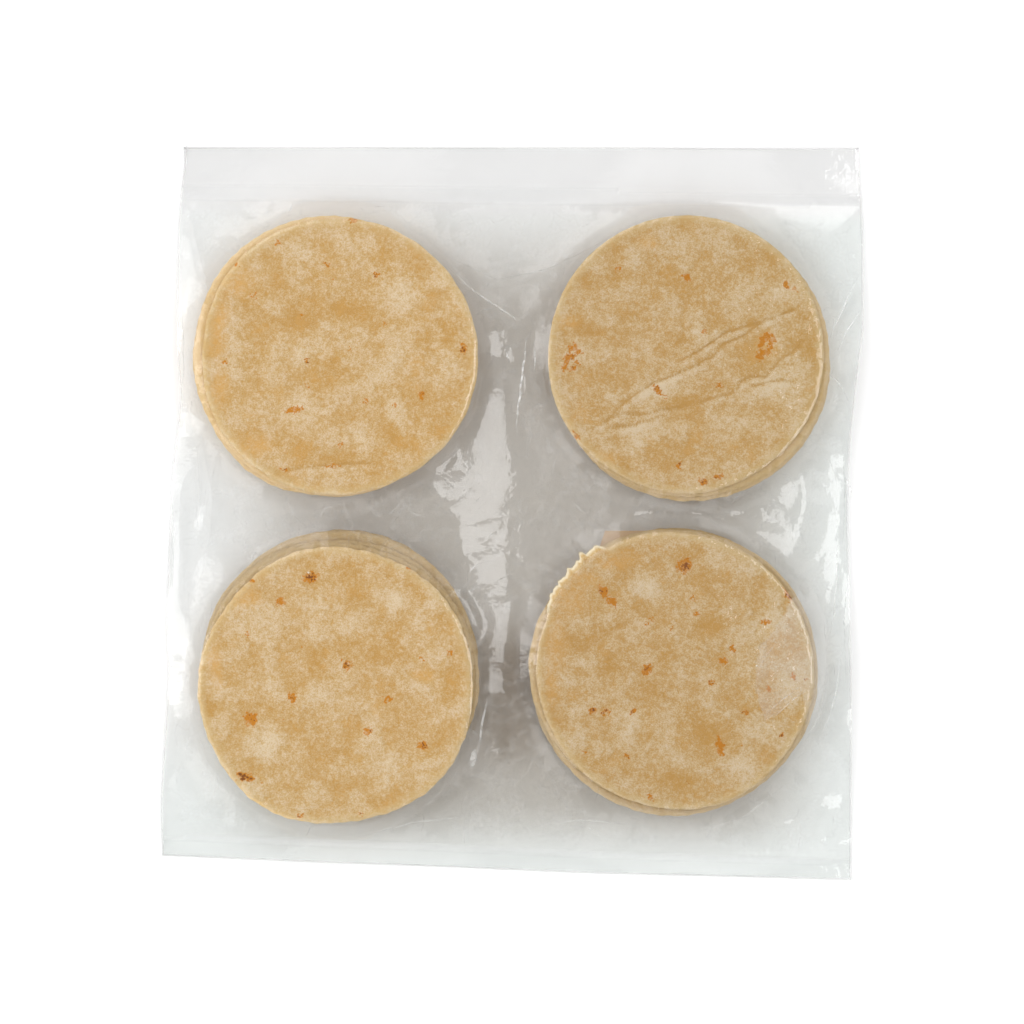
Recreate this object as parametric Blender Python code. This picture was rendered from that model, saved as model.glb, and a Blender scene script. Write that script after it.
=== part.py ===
"""A sealed clear bag of small flour tortillas, lying flat: four low stacks, two by two, under one film.

The bag is one closed solid, out to the film's outer face. The film drapes over each stack, sags in the
valleys between them, comes down to a fold along each side and is welded along the seals at both ends.
Past the rear seal lies the flat header, past the front seal a narrow flange.
Metres, +Z up, +Y towards the header. The origin is at the middle of the bag's underside.
"""

import math

import bmesh
import bpy

# Tortillas and their stacks
TORTILLA_DIAMETER = 0.1143
TORTILLA_THICKNESS = 0.0021
TORTILLAS_IN_STACK = 7
RIM_ROUND = 0.0006
CROWN = 0.0005

# Bag: full length and width, and where the welded seals lie
BAG_LENGTH = 0.3052
BAG_WIDTH = 0.2924
SEAL_BAND = 0.005
SEAL_RISE = 0.0003
SEAL_BEVEL = 0.0004
FOLD_THICKNESS = 0.001

# How the film hangs off a stack: a short turn over the rim, then a long fall
TURN_SHARE = 0.35
TURN_LENGTH = 0.002
FALL_LENGTH = 0.024
EDGE_PULL = 0.5

# How far a side fold or seal is lifted off the table beside a stack
FOLD_LIFT = 0.007
FOLD_LIFT_REACH = 0.014
FOLD_LIFT_WIDTH = 0.030
RIPPLE_HEIGHT = 0.0005
RIPPLE_LENGTH = 0.113

# Mesh: points along one side of a quarter of the bag, and rings out from each stack's rim
SIDE_POINTS = 15
RINGS_OUTSIDE = 8
RING_SPREAD = 1.6
RINGS_INSIDE = (0.45, 0.85, 0.965, 0.99)
UNDERSIDE_RINGS = (0.3, 0.65, 1.0)
WELD = 1e-6

# Golden angle, so that no two tortillas of a stack stray the same way
STRAY_TURN = 2.39996

HALF_LENGTH = BAG_LENGTH / 2
HALF_WIDTH = BAG_WIDTH / 2
RADIUS = TORTILLA_DIAMETER / 2
STACK_HEIGHT = TORTILLAS_IN_STACK * TORTILLA_THICKNESS

# Each stack: its quarter of the bag, the top tortilla's middle, how far the lower ones have slid to one
# side, how many tortillas down that slide takes, and how far each strays by itself
STACKS = {
    "rear_left": {"quarter": (-1, 1), "middle": (-0.0714, 0.0648), "slide": (-0.0032, 0.0001),
                  "slide_layers": 1, "stray": 0.0005},
    "rear_right": {"quarter": (1, 1), "middle": (0.0718, 0.0658), "slide": (0.0024, -0.0028),
                   "slide_layers": 1, "stray": 0.0005},
    "front_left": {"quarter": (-1, -1), "middle": (-0.0726, -0.0714), "slide": (0.0012, 0.0066),
                   "slide_layers": 3, "stray": 0.0005},
    "front_right": {"quarter": (1, -1), "middle": (0.0674, -0.0650), "slide": (-0.0003, -0.0004),
                    "slide_layers": 1, "stray": 0.0026},
}

# Outlines as (place, value): each side fold's X along Y, and each seal's and end's Y along X
LEFT_FOLD = ((-0.1427, -0.1457), (-0.1190, -HALF_WIDTH), (-0.0690, -0.1429), (-0.0440, -0.1437),
             (0.0139, -0.1416), (0.0473, -0.1379), (0.0722, -0.1391), (0.1222, -0.1387),
             (0.1526, -0.1358))
RIGHT_FOLD = ((-0.1526, 0.1412), (-0.0777, 0.1412), (0.0056, 0.1399), (0.0306, 0.1408),
              (0.0556, 0.1433), (0.0806, HALF_WIDTH), (0.1139, HALF_WIDTH), (0.1526, 0.1441))
REAR_END = ((-HALF_WIDTH, HALF_LENGTH), (HALF_WIDTH, 0.1522))
REAR_SEAL = ((-HALF_WIDTH, 0.1314), (0.0, 0.1297), (HALF_WIDTH, 0.1277))
FRONT_SEAL = ((-HALF_WIDTH, -0.1335), (-0.0466, -0.1372), (0.0367, -0.1410), (HALF_WIDTH, -0.1445))
FRONT_END = ((-HALF_WIDTH, -0.1425), (-0.0340, -0.1470), (0.0410, -0.1499), (HALF_WIDTH, -HALF_LENGTH))
VALLEY_SLANT = 0.012


def clear_scene():
    for thing in list(bpy.data.objects):
        bpy.data.objects.remove(thing, do_unlink=True)


def along(points, place):
    """Reads a smooth curve through (place, value) pairs, which never swings past their own extremes."""
    if place <= points[0][0]:
        return points[0][1]
    if place >= points[-1][0]:
        return points[-1][1]
    last = len(points) - 1
    i = next(k for k in range(last) if place <= points[k + 1][0])
    (a, va), (b, vb) = points[i], points[i + 1]
    before, after = points[max(i - 1, 0)], points[min(i + 2, last)]
    width = b - a
    slope_a = (vb - before[1]) / (b - before[0]) * width
    slope_b = (after[1] - va) / (after[0] - a) * width
    t = (place - a) / width
    rise = 3 * t ** 2 - 2 * t ** 3
    value = va + (vb - va) * rise + slope_a * (t ** 3 - 2 * t ** 2 + t) + slope_b * (t ** 3 - t ** 2)
    extremes = sorted(v for _, v in points)
    return max(extremes[0], min(extremes[-1], value))


def mix(a, b, share):
    return a + (b - a) * share


def spot(across, forward):
    """A point of the bag between its folds and seals; both run from -1 to 1."""
    rough_x = across * HALF_WIDTH
    y = mix(along(FRONT_SEAL, rough_x), along(REAR_SEAL, rough_x), (forward + 1) / 2)
    x = mix(along(LEFT_FOLD, y), along(RIGHT_FOLD, y), (across + 1) / 2)
    inside = 1 - across ** 2
    return x + VALLEY_SLANT * y / HALF_LENGTH * inside, y


def layers(stack):
    """Each tortilla of a stack from the top down: its middle and the height of its upper face."""
    x, y = stack["middle"]
    found = [(x, y, STACK_HEIGHT)]
    for k in range(1, TORTILLAS_IN_STACK):
        slid = min(1.0, k / stack["slide_layers"])
        turn = k * STRAY_TURN
        found.append((
            x + stack["slide"][0] * slid + stack["stray"] * math.cos(turn),
            y + stack["slide"][1] * slid + stack["stray"] * math.sin(turn),
            STACK_HEIGHT - k * TORTILLA_THICKNESS,
        ))
    return found


ALL_LAYERS = {name: layers(stack) for name, stack in STACKS.items()}


def drape(gap):
    """Share of its height that the film keeps at this distance outside a rim."""
    return TURN_SHARE * math.exp(-gap / TURN_LENGTH) + (1 - TURN_SHARE) * math.exp(-gap / FALL_LENGTH)


def stack_cover(x, y):
    """The film's height over the stacks as a share of theirs, and the distance to the nearest rim."""
    bare = 1.0
    nearest = 1.0
    for stack in ALL_LAYERS.values():
        cover = 0.0
        for middle_x, middle_y, height in stack:
            gap = max(0.0, math.hypot(x - middle_x, y - middle_y) - RADIUS)
            cover = max(cover, height / STACK_HEIGHT * drape(gap))
            nearest = min(nearest, gap)
        bare *= 1 - cover
    return 1 - bare, nearest


def edge_distance(x, y):
    """Distance in from the nearest fold or seal."""
    sides = min(x - along(LEFT_FOLD, y), along(RIGHT_FOLD, y) - x)
    ends = min(along(REAR_SEAL, x) - y, y - along(FRONT_SEAL, x))
    return max(0.0, min(sides, ends))


def fold_lift(rim_gap):
    return FOLD_LIFT * math.exp(-rim_gap / FOLD_LIFT_REACH)


def underside(x, y):
    """Flat on the table under the stacks and valleys, rising to the lifted folds."""
    rim_gap = stack_cover(x, y)[1]
    edge = edge_distance(x, y)
    if rim_gap == 0.0 or edge > FOLD_LIFT_WIDTH:
        return 0.0
    near = rim_gap / (rim_gap + edge)
    return fold_lift(rim_gap) * near ** 1.5 * (1 - edge / FOLD_LIFT_WIDTH)


def topside(x, y):
    """The film's outer face between the folds and the seals."""
    cover, rim_gap = stack_cover(x, y)
    edge = edge_distance(x, y)
    fold = underside(x, y) + FOLD_THICKNESS
    held = edge / max(edge + EDGE_PULL * rim_gap, WELD)
    return max(fold, mix(fold, STACK_HEIGHT * cover, held))


def disc_top(from_middle):
    """A stack's top face: a slight crown, and a rounded rim."""
    share = min(1.0, from_middle / RADIUS)
    return STACK_HEIGHT + CROWN * (1 - share ** 2) - RIM_ROUND * share ** 40


def side_steps(start, end):
    """The places along one side of a quarter, without its last."""
    return [mix(start, end, k / SIDE_POINTS) for k in range(SIDE_POINTS)]


def quarter_border(quarter):
    """The border of one quarter of the bag, anticlockwise: fold, seal and the two valley lines."""
    sx, sy = quarter
    low_x, high_x = sorted((0, sx))
    low_y, high_y = sorted((0, sy))
    border = [(x, low_y) for x in side_steps(low_x, high_x)]
    border += [(high_x, y) for y in side_steps(low_y, high_y)]
    border += [(x, high_y) for x in side_steps(high_x, low_x)]
    border += [(low_x, y) for y in side_steps(high_y, low_y)]
    return [spot(*place) for place in border]


def ring(mesh, points):
    return [mesh.verts.new(point) for point in points]


def join_rings(mesh, inner, outer):
    count = len(inner)
    for i in range(count):
        j = (i + 1) % count
        mesh.faces.new((inner[i], outer[i], outer[j], inner[j]))


def rays(middle, border, radius):
    """The points on a circle round the middle that look at each point of the border."""
    found = []
    for x, y in border:
        reach = math.hypot(x - middle[0], y - middle[1])
        share = radius / reach
        found.append((mix(middle[0], x, share), mix(middle[1], y, share)))
    return found


def add_quarter_top(mesh, stack):
    """Film over one stack, and down and out to the border of its quarter."""
    middle = stack["middle"]
    border = quarter_border(stack["quarter"])
    rim = rays(middle, border, RADIUS)
    crown = mesh.verts.new((*middle, disc_top(0)))
    rings = []
    for share in RINGS_INSIDE + (1.0,):
        height = disc_top(share * RADIUS)
        rings.append(ring(mesh, [(x, y, height) for x, y in rays(middle, border, share * RADIUS)]))
    for k in range(1, RINGS_OUTSIDE + 1):
        share = (k / RINGS_OUTSIDE) ** RING_SPREAD
        places = [(mix(a[0], b[0], share), mix(a[1], b[1], share)) for a, b in zip(rim, border)]
        rings.append(ring(mesh, [(x, y, topside(x, y)) for x, y in places]))
    first = rings[0]
    for i in range(len(first)):
        mesh.faces.new((crown, first[i], first[(i + 1) % len(first)]))
    for inner, outer in zip(rings, rings[1:]):
        join_rings(mesh, inner, outer)


def add_quarter_underside(mesh, stack):
    """Flat under the stack, and out to the lifted folds."""
    middle = stack["middle"]
    border = quarter_border(stack["quarter"])
    rim = rays(middle, border, RADIUS * RINGS_INSIDE[-2])
    rings = [ring(mesh, [(x, y, 0.0) for x, y in rim])]
    for share in UNDERSIDE_RINGS:
        places = [(mix(a[0], b[0], share), mix(a[1], b[1], share)) for a, b in zip(rim, border)]
        rings.append(ring(mesh, [(x, y, underside(x, y)) for x, y in places]))
    mesh.faces.new(rings[0])
    for inner, outer in zip(rings, rings[1:]):
        join_rings(mesh, inner, outer)


def flange_rows(width):
    """Distances out from a seal line, and how far the welded band stands proud at each."""
    rows = [(0.0, 0.0), (SEAL_BEVEL, SEAL_RISE), (SEAL_BAND, SEAL_RISE), (SEAL_BAND + SEAL_BEVEL, 0.0)]
    if width > 2 * SEAL_BAND:
        rows.append((mix(SEAL_BAND, width, 0.45), 0.0))
    rows.append((width, 0.0))
    return rows


def add_flange(mesh, seal, end, forward):
    """The flat double film past one seal, top and underside, with its welded band."""
    columns = [k / SIDE_POINTS for k in range(-SIDE_POINTS, SIDE_POINTS + 1)]
    top = []
    under = []
    for across in columns:
        x, y = spot(across, forward)
        width = abs(along(end, x) - y)
        lift = underside(x, y)
        top_column = []
        under_column = []
        for out, proud in flange_rows(width):
            row_y = y + forward * out
            edge_x = along(LEFT_FOLD if across < 0 else RIGHT_FOLD, row_y)
            row_x = mix(x, edge_x, abs(across)) if abs(across) == 1 else x
            settled = out / width
            ripple = RIPPLE_HEIGHT * (1 + math.sin(math.tau * x / RIPPLE_LENGTH)) * settled
            floor = mix(lift, 0.0, settled) + ripple
            top_column.append(mesh.verts.new((row_x, row_y, floor + FOLD_THICKNESS + proud)))
            under_column.append(mesh.verts.new((row_x, row_y, floor)))
        top.append(top_column)
        under.append(under_column)
    for sheet in (top, under):
        for a, b in zip(sheet, sheet[1:]):
            for k in range(len(a) - 1):
                mesh.faces.new((a[k], a[k + 1], b[k + 1], b[k]))


def close_sides(mesh):
    """Joins the open edges of the top and the underside, which have the same plan."""
    def plan(vertex):
        return round(vertex.co.x, 6), round(vertex.co.y, 6)

    open_edges = [edge for edge in mesh.edges if edge.is_boundary]
    columns = {}
    for vertex in {v for edge in open_edges for v in edge.verts}:
        columns.setdefault(plan(vertex), []).append(vertex)
    for edge in open_edges:
        a, b = edge.verts
        low_a, high_a = sorted(columns[plan(a)], key=lambda v: v.co.z)
        low_b, high_b = sorted(columns[plan(b)], key=lambda v: v.co.z)
        if a is high_a:
            mesh.faces.new((low_a, high_a, high_b, low_b))


def film_material():
    material = bpy.data.materials.new("film")
    material.use_nodes = True
    shader = material.node_tree.nodes["Principled BSDF"]
    shader.inputs["Base Color"].default_value = (0.86, 0.80, 0.68, 1.0)
    shader.inputs["Roughness"].default_value = 0.2
    shader.inputs["Metallic"].default_value = 0.0
    return material


def build_bag():
    mesh = bmesh.new()
    for stack in STACKS.values():
        add_quarter_top(mesh, stack)
        add_quarter_underside(mesh, stack)
    add_flange(mesh, REAR_SEAL, REAR_END, 1)
    add_flange(mesh, FRONT_SEAL, FRONT_END, -1)
    bmesh.ops.remove_doubles(mesh, verts=mesh.verts[:], dist=WELD)
    close_sides(mesh)
    bmesh.ops.recalc_face_normals(mesh, faces=mesh.faces[:])
    data = bpy.data.meshes.new("bag")
    mesh.to_mesh(data)
    mesh.free()
    bag = bpy.data.objects.new("bag", data)
    bpy.context.scene.collection.objects.link(bag)
    data.materials.append(film_material())
    data.shade_smooth()
    return bag


clear_scene()
build_bag()
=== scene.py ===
"""Looks of the flour tortilla pack: clear film over four low stacks of small tortillas.

The tortillas and the film are built here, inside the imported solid's outline, and stand for it.
Metres, +Z up, +Y towards the header, as in the frame.
"""

import math

import bpy
import numpy as np
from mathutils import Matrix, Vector


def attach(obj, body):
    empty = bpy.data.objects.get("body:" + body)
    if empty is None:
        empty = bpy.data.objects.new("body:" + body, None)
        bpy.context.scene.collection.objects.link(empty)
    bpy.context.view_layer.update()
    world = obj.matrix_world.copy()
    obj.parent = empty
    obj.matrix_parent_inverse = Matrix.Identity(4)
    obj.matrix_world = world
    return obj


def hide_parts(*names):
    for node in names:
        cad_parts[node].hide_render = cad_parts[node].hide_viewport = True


MM = 0.001

# Photograph: metres across the frame at the table's height, and the camera
FRAME_WIDTH = 0.4265
FRAME_LIFT = 0.0006
CAMERA_HEIGHT = 1.6
SENSOR = 36.0

# Light: the tent's radiance at its ring, roof, hole and horizon, how much more it gives towards the
# left and the rear, its panels, and the two lamps' power in watts
RING_LIGHT = 1.12
ABOVE_LIGHT = 0.85
HOLE_LIGHT = 0.25
HORIZON_LIGHT = 1.05
TO_LEFT = 0.5
TO_REAR = 0.2
PANELS = 7
PANEL_CONTRAST = 0.6
WINDOW_POWER = 5.4
LEFT_POWER = 5.0

# Tortillas
RADIUS = 0.05715
THICKNESS = 0.0021
IN_STACK = 7
STACK_HEIGHT = IN_STACK * THICKNESS
STRAY_TURN = 2.39996
RIM_WIDTH = 0.0022
LAYER_GAP = 0.00012
FRILLED = "front_right"

# Each stack's two colour scales, one for its top tortilla and one for those below, are painted light and
# shade: under 1 they darken the dough as painted shade, most on the right-hand stacks, and over 1 they
# lighten it as painted light.
STACKS = {
    "rear_left": {"middle": (-0.0714, 0.0648), "slide": (-0.0032, 0.0001), "slide_layers": 1,
                  "stray": 0.0005, "seed": 11, "painted_light_scale": 0.94, "lower_painted_light_scale": 1.15},
    "rear_right": {"middle": (0.0718, 0.0658), "slide": (0.0024, -0.0028), "slide_layers": 1,
                   "stray": 0.0005, "seed": 23, "painted_light_scale": 0.835, "lower_painted_light_scale": 0.92},
    "front_left": {"middle": (-0.0726, -0.0714), "slide": (0.0012, 0.0066), "slide_layers": 3,
                   "stray": 0.0005, "seed": 37, "painted_light_scale": 0.93, "lower_painted_light_scale": 0.79},
    "front_right": {"middle": (0.0674, -0.0650), "slide": (-0.0003, -0.0004), "slide_layers": 1,
                    "stray": 0.0026, "seed": 41, "painted_light_scale": 0.82, "lower_painted_light_scale": 0.85},
}

# Bag outlines as (place, value): each fold's X along Y, each seal's and end's Y along X
HALF_LENGTH = 0.1526
HALF_WIDTH = 0.1462
LEFT_FOLD = ((-0.1427, -0.1457), (-0.1190, -HALF_WIDTH), (-0.0690, -0.1429), (-0.0440, -0.1437),
             (0.0139, -0.1416), (0.0473, -0.1379), (0.0722, -0.1391), (0.1222, -0.1387),
             (0.1526, -0.1358))
RIGHT_FOLD = ((-0.1526, 0.1412), (-0.0777, 0.1412), (0.0056, 0.1399), (0.0306, 0.1408),
              (0.0556, 0.1433), (0.0806, HALF_WIDTH), (0.1139, HALF_WIDTH), (0.1526, 0.1441))
REAR_END = ((-HALF_WIDTH, HALF_LENGTH), (HALF_WIDTH, 0.1522))
REAR_SEAL = ((-HALF_WIDTH, 0.1314), (0.0, 0.1297), (HALF_WIDTH, 0.1277))
FRONT_SEAL = ((-HALF_WIDTH, -0.1335), (-0.0466, -0.1372), (0.0367, -0.1410), (HALF_WIDTH, -0.1445))
FRONT_END = ((-HALF_WIDTH, -0.1425), (-0.0340, -0.1470), (0.0410, -0.1499), (HALF_WIDTH, -HALF_LENGTH))

# Film: how it lies
FILM_LIFT = 0.0004
FLOOR_LIFT = 0.0003
FOLD_LIFT = 0.007
FOLD_LIFT_REACH = 0.014
FOLD_LIFT_WIDTH = 0.030
TURN_SHARE = 0.35
TURN_LENGTH = 0.002
FALL_LENGTH = 0.024
COARSE_ACROSS = 53
COARSE_ALONG = 49
MAP_CELL = 0.0005
MAP_MARGIN = 20
COVER_REACH = 0.0004
BEAD_RADIUS = 0.0003
FILM_SEED = 5
SLACK_HEIGHT = 0.0012
IRON_ROUNDS = 12
EDGE_SHARE = 0.5


def read_curve(points):
    """A smooth curve through (place, value) pairs, as a function of arrays of places."""
    knots = np.array(points)
    places = []
    values = []
    last = len(knots) - 1
    for i in range(last):
        a, b = knots[i], knots[i + 1]
        before, after = knots[max(i - 1, 0)], knots[min(i + 2, last)]
        width = b[0] - a[0]
        slope_a = (b[1] - before[1]) / (b[0] - before[0]) * width
        slope_b = (after[1] - a[1]) / (after[0] - a[0]) * width
        t = np.linspace(0, 1, 24, endpoint=False)
        places.append(a[0] + width * t)
        values.append(a[1] + (b[1] - a[1]) * (3 * t ** 2 - 2 * t ** 3)
                      + slope_a * (t ** 3 - 2 * t ** 2 + t) + slope_b * (t ** 3 - t ** 2))
    places = np.append(np.concatenate(places), knots[-1, 0])
    values = np.append(np.concatenate(values), knots[-1, 1])
    values = np.clip(values, knots[:, 1].min(), knots[:, 1].max())
    return lambda at: np.interp(at, places, values)


left_fold = read_curve(LEFT_FOLD)
right_fold = read_curve(RIGHT_FOLD)
rear_end = read_curve(REAR_END)
rear_seal = read_curve(REAR_SEAL)
front_seal = read_curve(FRONT_SEAL)
front_end = read_curve(FRONT_END)


def smooth_step(low, high, value):
    t = np.clip((value - low) / (high - low), 0, 1)
    return t * t * (3 - 2 * t)


def clouds(x, y, size, seed):
    """Smooth noise from 0 to 1 with lumps of about this size, in metres."""
    table = np.random.default_rng(seed).random((64, 64))
    gx = x / size + 31.7
    gy = y / size + 17.3
    ix = np.floor(gx).astype(int)
    iy = np.floor(gy).astype(int)
    tx = smooth_step(0, 1, gx - ix)
    ty = smooth_step(0, 1, gy - iy)

    def row(j):
        left = table[j % 64, ix % 64]
        return left + (table[j % 64, (ix + 1) % 64] - left) * tx

    return row(iy) + (row(iy + 1) - row(iy)) * ty


def lumps(x, y, size, seed, octaves=3):
    """Clouds of several sizes, each turned against the last so that no grid shows."""
    total = 0.0
    weight = 1.0
    weights = 0.0
    for k in range(octaves):
        turn = 0.7 + 1.1 * k
        u = x * math.cos(turn) - y * math.sin(turn)
        v = x * math.sin(turn) + y * math.cos(turn)
        total = total + weight * clouds(u, v, size / 1.9 ** k, seed + 101 * k)
        weights += weight
        weight *= 0.55
    return total / weights


def layer_places(stack):
    """Each tortilla of a stack from the top down: its middle and the height of its upper face."""
    x, y = stack["middle"]
    found = [(x, y, STACK_HEIGHT)]
    for k in range(1, IN_STACK):
        slid = min(1.0, k / stack["slide_layers"])
        turn = k * STRAY_TURN
        found.append((
            x + stack["slide"][0] * slid + stack["stray"] * math.cos(turn),
            y + stack["slide"][1] * slid + stack["stray"] * math.sin(turn),
            STACK_HEIGHT - k * THICKNESS,
        ))
    return found


def in_metres(points):
    return [(x * MM, y * MM) for x, y in points]


def new_mesh(name, verts, faces, material, smooth=True):
    data = bpy.data.meshes.new(name)
    data.from_pydata([tuple(v) for v in verts], [], faces)
    data.materials.append(material)
    data.validate()
    if smooth:
        data.shade_smooth()
    thing = bpy.data.objects.new(name, data)
    bpy.context.scene.collection.objects.link(thing)
    return thing


def add_values(thing, name, values):
    """A number at each vertex, which the material reads."""
    attribute = thing.data.attributes.new(name, "FLOAT", "POINT")
    attribute.data.foreach_set("value", np.asarray(values, np.float32))


# Tortillas

# Creases of the top tortillas: how deep, then their lines in millimetres from each one's middle
CREASE_DEPTH = {"rear_left": 0.6, "rear_right": 0.8, "front_left": 1.0, "front_right": 0.3}
WRINKLES = {
    "rear_left": (
        ((-24, -47.6), (-14, -46), (-5.9, -45), (2, -43.6), (9, -43.6), (16, -44.4)),
    ),
    "rear_right": (
        ((-45.5, -33.2), (-34.2, -28.2), (-27.1, -24.3), (-16.1, -24.3), (-5, -22.3), (3, -20.2),
         (10.8, -17.5), (18.7, -15.6), (21.9, -11.6), (26.6, -9.2), (32.9, -9.2), (38.4, -2.9), (43.9, 1),
         (51.5, 9.8)),
        ((-34, -28.6), (-25.5, -19.5), (-19.2, -15.6), (-12.9, -11.6), (-5, -8.5), (5.3, -3.8),
         (10.8, -1.4), (15.6, 4.2), (23.4, 7.3), (32.9, 14.4), (42.4, 16.8), (48.5, 21.9)),
        ((-4.6, -4.4), (7.6, 3.4), (17.1, 9.7), (25, 11.3), (30.5, 13.2)),
        ((-33, -30.9), (-19.2, -28.2), (-8.5, -24.6)),
        ((26, -13.6), (34, -11), (43, -10.8)),
    ),
    "front_left": (),
    "front_right": (
        ((-42, 4), (-32.8, 11.4), (-24.4, 18.2), (-13.1, 22.3)),
    ),
}
CREASE_WANDER = 0.0012
GROOVE_DEPTH = 0.00040
GROOVE_WIDTH = 0.00040
RIDGE_HEIGHT = 0.00030
RIDGE_WIDTH = 0.0013
RIDGE_PLACE = 0.0019

# Broad soft patches of the top tortillas: millimetres from each one's middle, then their reach
# across and along; browned ones first, then floury ones, then orange ones
BROWNED = {
    "rear_left": (
        (-17.3, 14.6, 10, 3.6), (-14.4, -39.4, 8, 4.5), (-3.7, -42, 8, 3), (-1.7, -3.5, 4, 4),
        (45.8, 8.9, 3.6, 6), (21, -31.2, 5, 4), (3, 20, 9, 2.6),
    ),
    "rear_right": (
        (34.5, 40.5, 4, 5.5), (-5.8, 4.2, 5, 4), (6.8, -2.1, 7, 2.6), (26.6, 12.8, 3.6, 3),
        (1.3, -20.3, 8, 2.6), (48.7, 2.6, 4.5, 5), (29, -11.6, 5, 3), (-40.5, 8.9, 5, 3),
        (25.8, -33.8, 3.5, 3.5), (-9.7, -46.4, 6, 4),
    ),
    "front_left": (
        (20.6, 11.8, 7, 7), (7.8, -40.6, 9, 4), (-21.9, -41.8, 6, 3), (3.3, 49.8, 7, 2.8),
        (-51.6, -9.2, 2.6, 5), (7.9, 35.6, 5.5, 5), (-9.7, 7.2, 4, 5),
    ),
    "front_right": (
        (-39.5, 11.4, 5, 5), (-25.2, 3, 6, 5), (10.1, -24.3, 9, 7), (-6.4, -7.8, 8, 5),
        (-31.1, -39.1, 4, 3.5), (14, 20, 7, 4), (-2, -46, 9, 4),
    ),
}
FLOURY = {
    "rear_left": (
        (25.2, 23.3, 10, 8), (29.3, -3.5, 8, 6), (-16, -16, 6, 5), (-8, 40, 8, 5),
    ),
    "rear_right": (
        (-17.6, 4.2, 5, 4.5), (34.5, -15.6, 6, 4.5), (-12.9, -16.4, 6, 3.6), (36.8, 24.7, 4.5, 4),
        (7.6, 8.9, 6, 2.6), (-20, -34, 8, 5),
    ),
    "front_left": (
        (23.9, 33.3, 6, 4.5), (-12, 27.5, 5, 5), (37.3, 22.5, 5, 4.5), (13.6, -12, 5, 5), (-30, -25, 9, 8),
        (24, -33, 6, 6),
    ),
    "front_right": (
        (41, 18.6, 8, 8), (47.3, -7.8, 4.5, 8), (-12, 33.4, 8, 5), (30, -38, 7, 5), (-20, -22, 6, 5),
    ),
}
ORANGE = {
    "rear_left": (
        (-50, 12, 5, 13), (-42, 31, 7, 6), (-36, -37, 8, 5), (-49, -14, 4, 9),
    ),
    "rear_right": (
        (-48.4, 13.6, 4, 3), (-14.4, 46.8, 3.5, 3), (-33, -44, 4, 3), (32.6, 3, 4, 6),
    ),
    "front_left": (
        (-50, 8, 3, 9), (36, 4, 4, 3), (-38, 37, 6, 3.5),
    ),
    "front_right": (
        (-50, 12, 5, 13), (-43.5, 30, 7, 8), (-37, 37, 6, 4), (-51.5, -6, 3, 9), (-24, 45.5, 9, 4),
    ),
}
PATCH_WARP = 0.006
PATCH_LUMPS = 0.009

# Frilled rim: where it is in degrees, its reach and its unevenness in millimetres, then its flakes,
# each with an angle in degrees, a height in millimetres and a width in degrees
FRILL_TURN = (118.0, 160.0)
FRILL_REACH = 2.5
TOOTH_REACH = 1.8
FLAKES = ((128.9, 5.6, 1.7), (122.8, 3.4, 2.0), (136.4, 4.6, 1.2), (142.4, 4.2, 1.0), (146.0, 3.9, 0.9))

# The share of its reach that the frilled rim rises
FRILL_LIFT = 0.1

# Relief of the dough, how far its rim droops, and the waves of its outline
PUFF_HEIGHT = 0.00030
FINE_HEIGHT = 0.00014
RIM_DROP = 0.0002
LOWER_RELIEF = 0.3
ROUND_WAVES = 0.00042
RAGGED_WAVES = 0.00009

# How a tortilla is divided: around the frilled one, the other top ones, the next ones below and the
# lowest; then shares of the radius from the middle outwards, and of the rim's width from its edge
AROUND_FRILLED = 576
AROUND_TOP = 288
AROUND_NEXT = 216
AROUND_LOWEST = 144
TOP_STEPS = np.linspace(0.02, 0.955, 58)
LOWER_STEPS = np.array([0.3, 0.6, 0.8, 0.88, 0.92, 0.945])
RIM_STEPS = np.array([0.75, 0.5, 0.28, 0.12, 0.03])


def patch_share(x, y, patches, seed):
    """How far a set of soft patches covers each place."""
    x = x + PATCH_WARP * (lumps(x, y, PATCH_LUMPS, seed, 3) - 0.5)
    y = y + PATCH_WARP * (lumps(x, y, PATCH_LUMPS, seed + 5, 3) - 0.5)
    share = np.zeros(x.shape)
    for place_x, place_y, across, along in patches:
        gap = ((x - place_x * MM) / (across * MM)) ** 2 + ((y - place_y * MM) / (along * MM)) ** 2
        share = np.maximum(share, np.exp(-gap ** 1.4))
    return share


def line_distance(x, y, points):
    """Distance to a broken line, with the side of it as the sign, and the share of the way along."""
    best = np.full(x.shape, 1.0)
    side = np.zeros(x.shape)
    along = np.zeros(x.shape)
    count = len(points) - 1
    for i in range(count):
        (ax, ay), (bx, by) = points[i], points[i + 1]
        dx, dy = bx - ax, by - ay
        t = np.clip(((x - ax) * dx + (y - ay) * dy) / (dx * dx + dy * dy), 0, 1)
        gap = np.hypot(x - ax - t * dx, y - ay - t * dy)
        closer = gap < best
        best = np.where(closer, gap, best)
        side = np.where(closer, np.sign(dx * (y - ay) - dy * (x - ax)), side)
        along = np.where(closer, (i + t) / count, along)
    return best * side, along


def wrinkle_relief(x, y, points, seed, depth):
    """A crease: a narrow groove with a soft ridge beside it, deeper in some places than in others."""
    gap, along = line_distance(x, y, points)
    gap = gap + CREASE_WANDER * (2 * lumps(x, y, 0.0065, seed, 4) - 1)
    strength = smooth_step(0, 0.08, along) * smooth_step(1, 0.92, along)
    strength = strength * depth * (0.45 + 0.9 * lumps(x, y, 0.014, seed + 7))
    groove = np.exp(-(gap / GROOVE_WIDTH) ** 2)
    ridge = np.exp(-((gap + RIDGE_PLACE) / RIDGE_WIDTH) ** 2)
    return strength * (RIDGE_HEIGHT * ridge - GROOVE_DEPTH * groove), strength * groove, strength * ridge


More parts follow.
